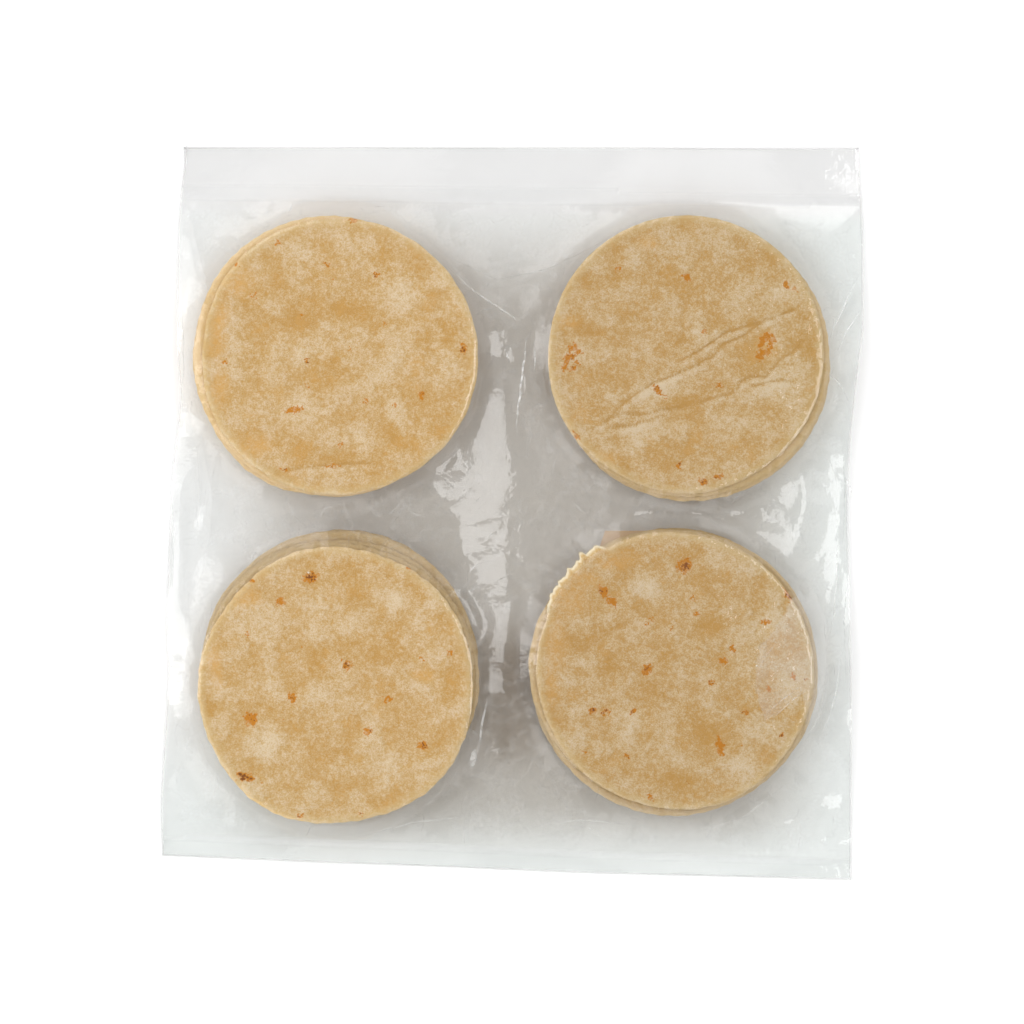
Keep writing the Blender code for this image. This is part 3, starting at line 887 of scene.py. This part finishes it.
# Folds of the film: height and width in millimetres, then the line along the top of each, in
# millimetres from the bag's middle
FOLDS = (
    (0.55, 1.1, (6.2, 73.9), (4.6, 58.6), (2.5, 42.9), (1.2, 31.6)),
    (0.3, 0.8, (9.5, 70), (8.8, 58)),
    (0.3, 0.7, (-3, 68), (-0.8, 62.5)),
    (0.9, 3, (-34, 113.4), (-19.5, 104.3), (-5, 95.6), (11.6, 100.1), (28.2, 109.3), (44.8, 115.5)),
    (0.7, 2.6, (-26.5, 101), (-17.4, 92.7), (-5, 84.4), (7.4, 78.2)),
    (0.35, 1.2, (-26.5, 105.5), (-15.8, 97.6), (-9.1, 89.4)),
    (0.5, 2.2, (20.7, 91.9), (30.7, 98.5), (38.1, 105.2)),
    (0.4, 1.5, (-22, 51), (-15.4, 43.5)),
    (1.1, 4, (-134.6, 120.5), (-131.3, 100.8), (-128, 84.4), (-131.3, 60)),
    (0.8, 3, (-128.8, 50), (-126.7, 30), (-126, 5), (-129.7, -15)),
    (0.5, 2.5, (-139, 20), (-137.5, -20), (-138.5, -62)),
    (0.6, 2.2, (-121, 38), (-124.6, 12), (-122.5, -4)),
    (0.7, 1.6, (130.4, 69.8), (138.7, 88.5), (145, 101)),
    (0.5, 1.3, (135.4, 66), (140.4, 76.8), (144.6, 83.5)),
    (0.5, 1.5, (128, 63.6), (135, 60), (140, 52)),
    (0.4, 1.8, (78, 5), (92, -2), (106, -13)),
    (0.3, 1.4, (64, 4), (76, -1), (84, -7)),
    (0.5, 2.4, (136.5, 44), (138, 20), (137, -8), (138.5, -34)),
    (0.4, 1.8, (133.5, 4), (134.5, -16), (133, -36), (128, -52)),
    (0.4, 2.4, (139, -52), (136.5, -78), (129, -98)),
    (0.3, 3, (122, -118), (104, -126), (88, -128)),
    (0.6, 2, (-141, -70), (-139, -92), (-141, -118)),
    (0.5, 1.6, (-135.5, -40), (-133, -62), (-134.5, -86)),
    (0.8, 1.8, (133, 18), (139.9, 13.7), (141.5, 8)),
    (0.5, 2.4, (-46.6, -137), (-25.8, -125.5), (-12, -118)),
    (0.4, 2, (12, -133.5), (32, -129), (52, -131)),
    (0.3, 2.4, (74, -139), (98, -128), (118, -108)),
    (0.4, 1.8, (104, -139), (121, -125), (134, -100)),
    (0.4, 1.8, (-130, -112), (-112, -124), (-96, -128)),
)

# Broad swells of the film: height, reach across and along, and place, all in millimetres
SWELLS = (
    (4.6, 26, 28, -30, 8), (2.6, 16, 26, -17, -42), (3, 18, 18, 0, 80), (1.2, 20, 34, 97, -62),
    (-2.8, 18, 13, 76, 0), (2.5, 17, 15, 120, 0), (1.6, 14, 16, 128, -98), (2.2, 5, 5, 31, -16),
    (1.8, 5, 7, 22, -27),
)
HIGHEST = 0.0153


def line_bump(x, y, points, width):
    """A rounded ridge along a broken line, at its full height between its tapered ends."""
    gap, along = line_distance(x, y, points)
    wave = 1 + 0.35 * np.sin(along * 9.0 + points[0][0] * 400)
    taper = smooth_step(0, 0.22, along) * smooth_step(1, 0.78, along)
    return taper * np.exp(-(gap / (width * wave)) ** 2)


def folds(x, y):
    rise = np.zeros(x.shape)
    off = smooth_step(-0.006, 0.012, stack_gap(x, y))
    for height, reach_x, reach_y, place_x, place_y in SWELLS:
        across = (x / MM - place_x) / reach_x
        forward = (y / MM - place_y) / reach_y
        rise += off * height * MM * np.exp(-across ** 2 - forward ** 2)
    for height, width, *line in FOLDS:
        rise += height * MM * line_bump(x, y, in_metres(line), width * MM)
    return rise + crinkles(x, y)


# Small soft creases of the loose film: heights, and how far their directions wander
BIG_CRINKLE = 0.00095
SMALL_CRINKLE = 0.00050
CRINKLE_BEND = 0.012


def crinkles(x, y):
    """Small soft creases of film that isn't pulled flat: fewer on the tops of the stacks."""
    loose = smooth_step(-0.003, 0.006, stack_gap(x, y))
    far = smooth_step(0.0, 0.006, edge_distance(x, y))
    bend_x = x + CRINKLE_BEND * (lumps(x, y, 0.05, 61, 2) - 0.5)
    bend_y = y + CRINKLE_BEND * (lumps(x, y, 0.05, 62, 2) - 0.5)
    big = 1 - np.abs(2 * clouds(bend_x + 0.4 * bend_y, bend_y - 0.4 * bend_x, 0.026, 63) - 1)
    small = 1 - np.abs(2 * clouds(bend_x - 0.6 * bend_y, bend_y + 0.6 * bend_x, 0.011, 64) - 1)
    where = smooth_step(0.35, 0.75, lumps(x, y, 0.045, 65, 2))
    rise = BIG_CRINKLE * big ** 2.5 + SMALL_CRINKLE * where * small ** 3
    return rise * far * (0.06 + 0.94 * loose)


def stack_gap(x, y):
    """Distance outside the nearest top tortilla, less than zero over it."""
    gaps = [np.hypot(x - stack["middle"][0], y - stack["middle"][1]) - RADIUS for stack in STACKS.values()]
    return np.minimum.reduce(gaps)


def refine(grid):
    """Halves the cells of a grid of points, along a smooth curve through its rows and columns."""
    for _ in range(2):
        between = (grid[1:] + grid[:-1]) / 2
        curved = between.copy()
        curved[1:-1] = (9 * (grid[1:-2] + grid[2:-1]) - (grid[:-3] + grid[3:])) / 16
        finer = np.zeros((2 * grid.shape[0] - 1, *grid.shape[1:]))
        finer[::2] = grid
        finer[1::2] = curved
        grid = finer.transpose(1, 0, 2)
    return grid


def settled_film():
    """The upper sheet between the folds and the seals, as a grid of points."""
    x, y = film_plan(COARSE_ACROSS, COARSE_ALONG)
    cover, rim_gap = stack_cover(x, y)
    edge = edge_distance(x, y)
    fold = underside(x, y) + FLOOR_LIFT
    way = edge / np.maximum(edge + EDGE_SHARE * rim_gap, 1e-6)
    height = fold + (STACK_HEIGHT * cover - fold) * way
    points = np.dstack((x, y, np.maximum(height, fold)))
    slack = lumps(x, y, 0.03, FILM_SEED, 2) - 0.5
    points[1:-1, 1:-1, 2] += SLACK_HEIGHT * slack[1:-1, 1:-1]
    points = refine(refine(points))
    ground = Ground()
    points = iron(points, ground, IRON_ROUNDS)
    points[..., 2] = np.minimum(points[..., 2] + folds(points[..., 0], points[..., 1]), HIGHEST)
    return iron(points, ground, 1)


# Flanges past the seals, and how far the lower sheet lies below them
REAR_ROWS = 14
FRONT_ROWS = 6
RIPPLE_HEIGHT = 0.0005
RIPPLE_LENGTH = 0.113
UNDER_DROP = 0.0002


def flange(end, forward, rows, border):
    """A flat double film past a seal; border is the seal's row of points."""
    grid = [border]
    x, y, z = border.T
    width = np.abs(end(x) - y)
    ripple = RIPPLE_HEIGHT * (1 + np.sin(math.tau * x / RIPPLE_LENGTH))
    for k in range(1, rows + 1):
        share = k / rows
        row_y = y + forward * width * share
        row_x = x.copy()
        row_x[0] = left_fold(row_y[0])
        row_x[-1] = right_fold(row_y[-1])
        row_z = z * (1 - share) + (FLOOR_LIFT + ripple * share) * share
        grid.append(np.stack((row_x, row_y, row_z), -1))
    return np.array(grid)


def whole_sheet(grid):
    """A sheet between the seals, with both its flanges added."""
    rear = flange(rear_end, 1, REAR_ROWS, grid[-1])
    front = flange(front_end, -1, FRONT_ROWS, grid[0])
    return np.concatenate((front[:0:-1], grid, rear[1:]))


def sheet_object(name, grid, material):
    along, across, _ = grid.shape
    faces = []
    for j in range(along - 1):
        for i in range(across - 1):
            a = j * across + i
            faces.append((a, a + 1, a + across + 1, a + across))
    return new_mesh(name, grid.reshape(-1, 3), faces, material)


# Painted shade on the film and on the table seen through it: where each of its borders starts and
# where it is full, in metres, then its darkest valley's place, width and length
LEFT_BORDER = (-0.135, -0.055)
RIGHT_BORDER = (0.141, 0.080)
REAR_BORDER = (0.140, 0.072)
FRONT_BORDER = (-0.149, -0.115)
VALLEY = (-0.076, 0.016, 0.026)
VALLEY_SHARE = 0.46


def painted_shade_share(x, y):
    """How much painted shade darkens the film and the table under it: most between the stacks."""
    painted_shade = smooth_step(*LEFT_BORDER, x) * smooth_step(*RIGHT_BORDER, x)
    painted_shade = painted_shade * smooth_step(*REAR_BORDER, y) * smooth_step(*FRONT_BORDER, y)
    place_y, width, length = VALLEY
    valley = np.exp(-(x / width) ** 2 - ((y - place_y) / length) ** 4)
    return painted_shade * (1 - VALLEY_SHARE * (1 - valley))


# Length of the welded seals
REAR_WELD = 0.005
FRONT_WELD = 0.002


def weld_share(x, y):
    """1 on the two welded seals, 0 elsewhere."""
    rear = y - rear_seal(x)
    front = front_seal(x) - y
    return ((rear > 0) & (rear < REAR_WELD)).astype(float) + ((front > 0) & (front < FRONT_WELD))


# Milky parts of the upper film, where it is creased or doubled, and partly painted highlight where it
# mirrors the light: how milky, then the outline in millimetres from the bag's middle
HIGHLIGHT_VEILS = (
    (0.13, (-150, 133.9), (-137.9, 133.9), (-132.9, 118.9), (-128.3, 101.8), (-126.2, 93.1), (-129.9, 76.4),
     (-133.3, 59.8), (-134.1, 47.3), (-132.4, 34.8), (-128.7, 32.3), (-126.2, 18.1), (-124.1, 6),
     (-125.4, -9.8), (-127.9, -19.4), (-131.6, -36), (-134.1, -52.7), (-135.8, -77.7), (-150, -77.7)),
    (0.12, (118.8, -31.6), (110.6, -43.5), (102.3, -55.1), (99.8, -69.9), (104.4, -86.9), (123.8, -70.4),
     (126.3, -52.2), (123.8, -37.8)),
    (0.14, (123.4, -28), (130.4, -44), (130.6, -62), (127, -80), (121.8, -90), (120.3, -77),
     (122.3, -56.3)),
)


def inside_distance(x, y, outline):
    """Distance to a closed outline, more than zero inside it."""
    ring = [*outline, outline[0]]
    gap = np.abs(line_distance(x, y, ring)[0])
    inside = np.zeros(x.shape, bool)
    for (ax, ay), (bx, by) in zip(ring, ring[1:]):
        if ay == by:
            continue
        crosses = ((y < ay) != (y < by)) & (x < ax + (y - ay) * (bx - ax) / (by - ay))
        inside = inside ^ crosses
    return np.where(inside, gap, -gap)


def highlight_veils(x, y):
    """The reach into the nearest veil, and how milky, partly as painted highlight, that one is."""
    reach = np.full(x.shape, -1.0)
    milk = np.zeros(x.shape)
    for share, *outline in HIGHLIGHT_VEILS:
        found = inside_distance(x, y, in_metres(outline))
        closer = found > reach
        reach = np.where(closer, found, reach)
        milk = np.where(closer, share, milk)
    return reach, milk


def film_values(thing, x, y):
    # The shade attribute is painted shade, most between the stacks.
    add_values(thing, "shade", painted_shade_share(x, y).ravel())
    add_values(thing, "weld", weld_share(x, y).ravel())
    loose = smooth_step(0.0, 0.006, stack_gap(x, y)) * smooth_step(0.0, 0.008, edge_distance(x, y))
    add_values(thing, "loose", loose.ravel())
    inner = smooth_step(0.0, 0.008, rear_seal(x) - y)
    sides = np.maximum(smooth_step(0.055, 0.120, x), smooth_step(-0.070, -0.125, y))
    add_values(thing, "cool", (inner * (0.42 + 0.58 * sides)).ravel())


BEAD_SIDES = 6


def edge_bead(upper, lower, material):
    """The film's cut and folded border: a thin bead all the way round."""
    def border(grid):
        return np.concatenate((grid[0, :-1], grid[:-1, -1], grid[-1, :0:-1], grid[:0:-1, 0]))

    line = (border(upper) + border(lower)) / 2
    count = len(line)
    forward = np.roll(line, -1, axis=0) - np.roll(line, 1, axis=0)
    forward[:, 2] = 0
    forward /= np.linalg.norm(forward, axis=1)[:, None]
    out = np.stack((forward[:, 1], -forward[:, 0], np.zeros(count)), -1)
    verts = []
    faces = []
    for k in range(BEAD_SIDES):
        turn = math.tau * k / BEAD_SIDES
        verts.append(line + BEAD_RADIUS * ((math.cos(turn) - 1) * out + [0, 0, math.sin(turn)]))
        a, b = k * count, (k + 1) % BEAD_SIDES * count
        for i in range(count):
            j = (i + 1) % count
            faces.append((a + i, a + j, b + j, b + i))
    return new_mesh("film_edge", np.concatenate(verts), faces, material)


# Sharp creases, as a painted glint where they catch the light and painted shade where they turn it
# away: width in millimetres, how strongly it shows, less than zero for a dark one, then its line in
# millimetres from the bag's middle
CREASE_GLINTS = (
    (0.8, 0.55, (6.2, 73.9), (4.9, 62), (3.3, 50), (1.4, 33)),
    (0.5, 0.45, (9.8, 69.5), (9.4, 62), (9, 58)),
    (0.5, 0.4, (-2.9, 68), (-1.5, 65), (-0.8, 62)),
    (0.6, 0.3, (-26.6, 101.8), (-16, 92), (-2, 83), (7, 76)),
    (0.5, -0.16, (-34, 112), (-22, 104), (-6, 96.8), (14, 101), (44, 115)),
    (0.9, 0.4, (-10, -76), (-12.6, -86), (-14, -99)),
    (2.6, 0.4, (-15, -97), (-16, -101), (-16.8, -106)),
    (0.4, 0.3, (106.5, -85.5), (114, -78.5), (122.8, -71.5)),
    (0.4, 0.28, (104, -83), (112, -76.5), (119, -71)),
    (0.4, 0.22, (110, -52), (104, -60), (101, -67)),
    (0.5, 0.4, (130.4, 70), (138, 87), (144, 99)),
    (0.5, 0.35, (134, 66), (139, 76), (144.6, 84)),
    (0.5, 0.35, (130, 58), (136, 54), (140, 46)),
    (0.6, 0.4, (138, 15.5), (140.5, 13), (141, 6)),
    (0.5, -0.2, (137, 30), (138.5, 10), (137.5, -14)),
    (0.5, 0.35, (134.5, 8), (135.5, -14), (134, -40), (130, -58)),
    (0.4, -0.18, (139.5, -20), (138, -48), (138.5, -70)),
    (0.5, 0.28, (137, -52), (134.5, -76), (127, -96)),
    (0.4, 0.22, (131.5, -66), (127.5, -84), (120, -96)),
    (0.5, 0.22, (-143, 20), (-140.5, -8), (-141.5, -36)),
    (0.4, -0.18, (-137, 88), (-136, 62), (-138, 40)),
    (0.4, 0.22, (-131, 30), (-129.8, 8), (-131, -12)),
    (0.5, 0.22, (-62, -134), (-40, -128), (-18, -126)),
    (0.4, 0.18, (6, -131), (30, -127), (56, -130)),
    (0.4, 0.18, (72, -134), (96, -126), (116, -110)),
)
STRAY_GLINTS = 150
CREASE_LIFT = 0.00012
CREASE_STEP = 0.0012
CREASE_WOBBLE = 0.0006


def stray_crease_glints():
    """Short fine creases, as painted glints and painted shade, here and there off the stacks, most of them
    along the bag near its sides.
    """
    rng = np.random.default_rng(19)
    found = []
    while len(found) < STRAY_GLINTS:
        x = rng.uniform(-HALF_WIDTH, HALF_WIDTH)
        y = rng.uniform(-HALF_LENGTH, HALF_LENGTH)
        place = (np.array([x]), np.array([y]))
        if stack_gap(*place)[0] < 0.002 or edge_distance(*place)[0] < 0.003:
            continue
        lengthwise = smooth_step(0.03, 0.12, abs(x))
        turn = rng.normal(0.5 + 1.1 * lengthwise, 0.9 - 0.5 * lengthwise)
        half = rng.uniform(0.0012, 0.0055)
        bend = rng.normal() * 0.3
        line = []
        for step in (-1, -0.3, 0.4, 1):
            way = turn + bend * step
            line.append(((x + half * step * math.cos(way)) / MM, (y + half * step * math.sin(way)) / MM))
        strength = rng.uniform(0.08, 0.26) * rng.choice((1, 1, -0.7))
        found.append((rng.uniform(0.25, 0.5), strength, *line))
    return found


def height_at(upper, x, y):
    """The film's height between the folds and the seals, from its grid of points."""
    along, across, _ = upper.shape
    u = 2 * (x - left_fold(y)) / (right_fold(y) - left_fold(y)) - 1
    front = front_seal(u * HALF_WIDTH)
    v = (y - front) / (rear_seal(u * HALF_WIDTH) - front)
    i = np.clip((u + 1) / 2 * (across - 1), 0, across - 1.001)
    j = np.clip(v * (along - 1), 0, along - 1.001)
    i0, j0 = i.astype(int), j.astype(int)
    s, t = i - i0, j - j0
    z = upper[..., 2]
    low = z[j0, i0] * (1 - s) + z[j0, i0 + 1] * s
    high = z[j0 + 1, i0] * (1 - s) + z[j0 + 1, i0 + 1] * s
    return low * (1 - t) + high * t


def crease_path(line):
    """Points a short step apart along a rounded, slightly wandering line."""
    knots = np.array(line) * MM
    lengths = np.concatenate(([0], np.hypot(*np.diff(knots, axis=0).T).cumsum()))
    at = np.linspace(0, lengths[-1], max(5, int(lengths[-1] / CREASE_STEP)))
    path = np.stack((np.interp(at, lengths, knots[:, 0]), np.interp(at, lengths, knots[:, 1])), -1)
    for _ in range(4):
        path[1:-1] = (path[:-2] + 2 * path[1:-1] + path[2:]) / 4
    wander = [clouds(at, at * 0 + knots[0, side], 0.004, 7 + side) for side in (0, 1)]
    return path + CREASE_WOBBLE * (np.stack(wander, -1) - 0.5)


def build_crease_glints(upper):
    """Each crease as a fine tapered ribbon that lies on the film, carrying its painted glint or shade."""
    verts = []
    faces = []
    shares = []
    for width, strength, *line in (*CREASE_GLINTS, *stray_crease_glints()):
        path = crease_path(line)
        count = len(path)
        way = np.gradient(path, axis=0)
        side = np.stack((-way[:, 1], way[:, 0]), -1) / np.hypot(way[:, 0], way[:, 1])[:, None]
        taper = np.sin(np.linspace(0, math.pi, count)) ** 0.7
        reach = width * MM / 2 * (0.15 + 0.85 * taper)
        first = len(verts)
        for sign in (-1, 1):
            edge = path + sign * reach[:, None] * side
            z = height_at(upper, edge[:, 0], edge[:, 1]) + CREASE_LIFT
            verts += list(zip(edge[:, 0], edge[:, 1], z))
            shares += list(strength * taper)
        for k in range(count - 1):
            a, b = first + k, first + count + k
            faces.append((a, a + 1, b + 1, b))
    thing = new_mesh("film_crease_glints", verts, faces, crease_glint_material())
    add_values(thing, "strength", shares)
    return thing


def build_film():
    upper = settled_film()
    whole = whole_sheet(upper)
    top = sheet_object("film_upper", whole, film_material("film_upper", SHADE_TINT_UPPER, True))
    film_values(top, whole[..., 0], whole[..., 1])
    reach, milk = highlight_veils(whole[..., 0], whole[..., 1])
    add_values(top, "highlight_veil_reach", reach.ravel())
    add_values(top, "highlight_veil", milk.ravel())
    plan_x, plan_y = film_plan(*upper.shape[1::-1])
    under = whole_sheet(np.dstack((plan_x, plan_y, underside(plan_x, plan_y))))
    under[..., 2] -= UNDER_DROP
    base = sheet_object("film_lower", under, film_material("film_lower", SHADE_TINT_LOWER, False))
    film_values(base, under[..., 0], under[..., 1])
    edge = edge_bead(whole, under, plain_material("film_edge", (0.92, 0.92, 0.92), 0.3, 0.4))
    return [top, base, edge, build_crease_glints(upper)]


# Patch and crumbs

PATCH_CORNER = (0.0388, -0.0072)
PATCH_SIZE = (0.034, 0.024)
PATCH_SLANT = 0.35
PATCH_LIFT = (0.00012, 0.00034)

# Crumbs: place and width in millimetres, and how high above the table they lie
CRUMBS = (
    (101, -62.8, 1, 14.6), (24.6, -24, 0.9, 12.9), (19.8, -31.4, 0.8, 12.6), (-84, -24.4, 0.9, 14.6),
    (52, -112.4, 0.8, 13.6), (112.5, 104, 1, 13.6),
)
CRUMB_SIDES = 9
CRUMB_LEVELS = ((0.0, 0.7), (0.22, 1.0), (0.5, 0.62))


def build_patch():
    """A thin plain tan patch under the front right stack; one corner of it shows."""
    across, along = PATCH_SIZE
    outline = []
    for u, v in ((0, 0), (0, -along), (across, -along), (across, 0)):
        outline.append((PATCH_CORNER[0] + u + PATCH_SLANT * v, PATCH_CORNER[1] + v))
    low, high = PATCH_LIFT
    verts = [(x, y, low) for x, y in outline] + [(x, y, high) for x, y in outline]
    faces = [(3, 2, 1, 0), (4, 5, 6, 7)] + [(i, (i + 1) % 4, 4 + (i + 1) % 4, 4 + i) for i in range(4)]
    return new_mesh("tan_patch", verts, faces, plain_material("tan_patch", (0.56, 0.38, 0.21), 0.7), False)


def build_crumbs():
    """Loose flakes of dough, most of them at the frilled rim."""
    rng = np.random.default_rng(8)
    verts = []
    faces = []
    for x, y, width, height in CRUMBS:
        first = len(verts)
        for level, share in CRUMB_LEVELS:
            for k in range(CRUMB_SIDES):
                turn = math.tau * k / CRUMB_SIDES
                reach = width * share * rng.uniform(0.3, 0.62)
                verts.append(((x + reach * math.cos(turn)) * MM, (y + reach * math.sin(turn)) * MM,
                              (height + level * width * 0.5) * MM))
        low = [first + k for k in range(CRUMB_SIDES)]
        high = [k + 2 * CRUMB_SIDES for k in low]
        faces += [tuple(reversed(low)), tuple(high)]
        for a, b in zip(low, low[1:] + low[:1]):
            for row in (0, CRUMB_SIDES):
                faces.append((a + row, b + row, b + row + CRUMB_SIDES, a + row + CRUMB_SIDES))
    return new_mesh("crumbs", verts, faces, plain_material("crumbs", (0.93, 0.85, 0.70), 0.8))


# Scene

def build_tortillas():
    made = []
    for name, stack in STACKS.items():
        places = layer_places(stack)
        seed = stack["seed"]
        # Each stack's colours take its painted light and shade.
        top_material = tortilla_material("tortilla_" + name, stack["painted_light_scale"], SPOTS[name], stack["middle"],
                                         seed * 0.31)
        plain = tortilla_material("tortilla_lower_" + name, stack["lower_painted_light_scale"])
        around = AROUND_FRILLED if name == FRILLED else AROUND_TOP
        made.append(tortilla(f"tortilla_{name}_1", places[0], seed, top_material, around, TOP_STEPS, name))
        for k in range(1, IN_STACK):
            around = AROUND_NEXT if k < 3 else AROUND_LOWEST
            made.append(tortilla(f"tortilla_{name}_{k + 1}", places[k], seed + 13 * k, plain, around,
                                 LOWER_STEPS))
    return made


def floor_object():
    reach = 6.0
    corner_points = [(-reach, -reach, 0), (reach, -reach, 0), (reach, reach, 0), (-reach, reach, 0)]
    material = plain_material("floor", (0.93, 0.93, 0.93), 0.9)
    return new_mesh("floor", corner_points, [(0, 1, 2, 3)], material, smooth=False)


def area_light(name, place, size, power):
    """A white lamp that faces the pack."""
    data = bpy.data.lights.new(name, "AREA")
    data.shape = "RECTANGLE"
    data.size, data.size_y = size
    data.energy = power
    lamp = bpy.data.objects.new(name, data)
    lamp.location = place
    lamp.rotation_mode = "QUATERNION"
    lamp.rotation_quaternion = (-Vector(place)).to_track_quat("-Z", "Y")
    bpy.context.scene.collection.objects.link(lamp)


def studio_world():
    """A light tent: brighter round the sides than above, most of all at the left and rear.

    Its roof has a dim hole, which the film over the stacks mirrors.
    """
    world = bpy.data.worlds.new("studio")
    bpy.context.scene.world = world
    world.use_nodes = True
    tree = world.node_tree
    generated = node(tree, "ShaderNodeTexCoord").outputs["Generated"]
    way = node(tree, "ShaderNodeSeparateXYZ", {0: generated}).outputs
    ring = plus(tree, times(tree, way["X"], -TO_LEFT), times(tree, way["Y"], TO_REAR), RING_LIGHT)
    round_way = math_node(tree, "ARCTAN2", way["Y"], way["X"])
    panels = math_node(tree, "SINE", times(tree, round_way, PANELS))
    ring = times(tree, ring, remap(tree, panels, -0.35, 0.35, 1 - PANEL_CONTRAST, 1 + PANEL_CONTRAST))
    strength = mix_number(tree, remap(tree, way["Z"], 0.14, 0.32), HORIZON_LIGHT, ring)
    strength = mix_number(tree, remap(tree, way["Z"], 0.74, 0.93), strength, ABOVE_LIGHT)
    hole = remap(tree, way["Z"], 0.945, 0.980, 1.0, HOLE_LIGHT / ABOVE_LIGHT)
    fill(tree, tree.nodes["Background"], {"Color": (1, 1, 1, 1), "Strength": times(tree, strength, hole)})


def set_lights():
    studio_world()
    area_light("window", (0.74, 0.0, 1.8), (0.62, 0.8), WINDOW_POWER)
    area_light("left", (-1.5, 0.1, 0.9), (0.5, 1.6), LEFT_POWER)


def set_camera():
    data = bpy.data.cameras.new("camera")
    data.sensor_width = SENSOR
    data.lens = SENSOR * CAMERA_HEIGHT / FRAME_WIDTH
    data.clip_end = 20
    camera = bpy.data.objects.new("camera", data)
    camera.location = (0, FRAME_LIFT, CAMERA_HEIGHT)
    bpy.context.scene.collection.objects.link(camera)
    bpy.context.scene.camera = camera


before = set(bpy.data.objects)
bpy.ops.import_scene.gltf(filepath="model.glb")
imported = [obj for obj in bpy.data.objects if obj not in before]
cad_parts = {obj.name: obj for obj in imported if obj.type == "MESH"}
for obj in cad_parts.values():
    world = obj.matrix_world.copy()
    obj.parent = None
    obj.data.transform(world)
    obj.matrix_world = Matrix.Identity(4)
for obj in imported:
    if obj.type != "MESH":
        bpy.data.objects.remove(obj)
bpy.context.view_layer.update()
bpy.context.scene.view_settings.view_transform = "Standard"
set_camera()
set_lights()
floor_object()
films = build_film()
tortillas = build_tortillas()
for piece in films:
    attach(piece, "root")
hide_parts("bag")
for piece in (*tortillas, build_crumbs()):
    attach(piece, "root")
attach(build_patch(), "root")
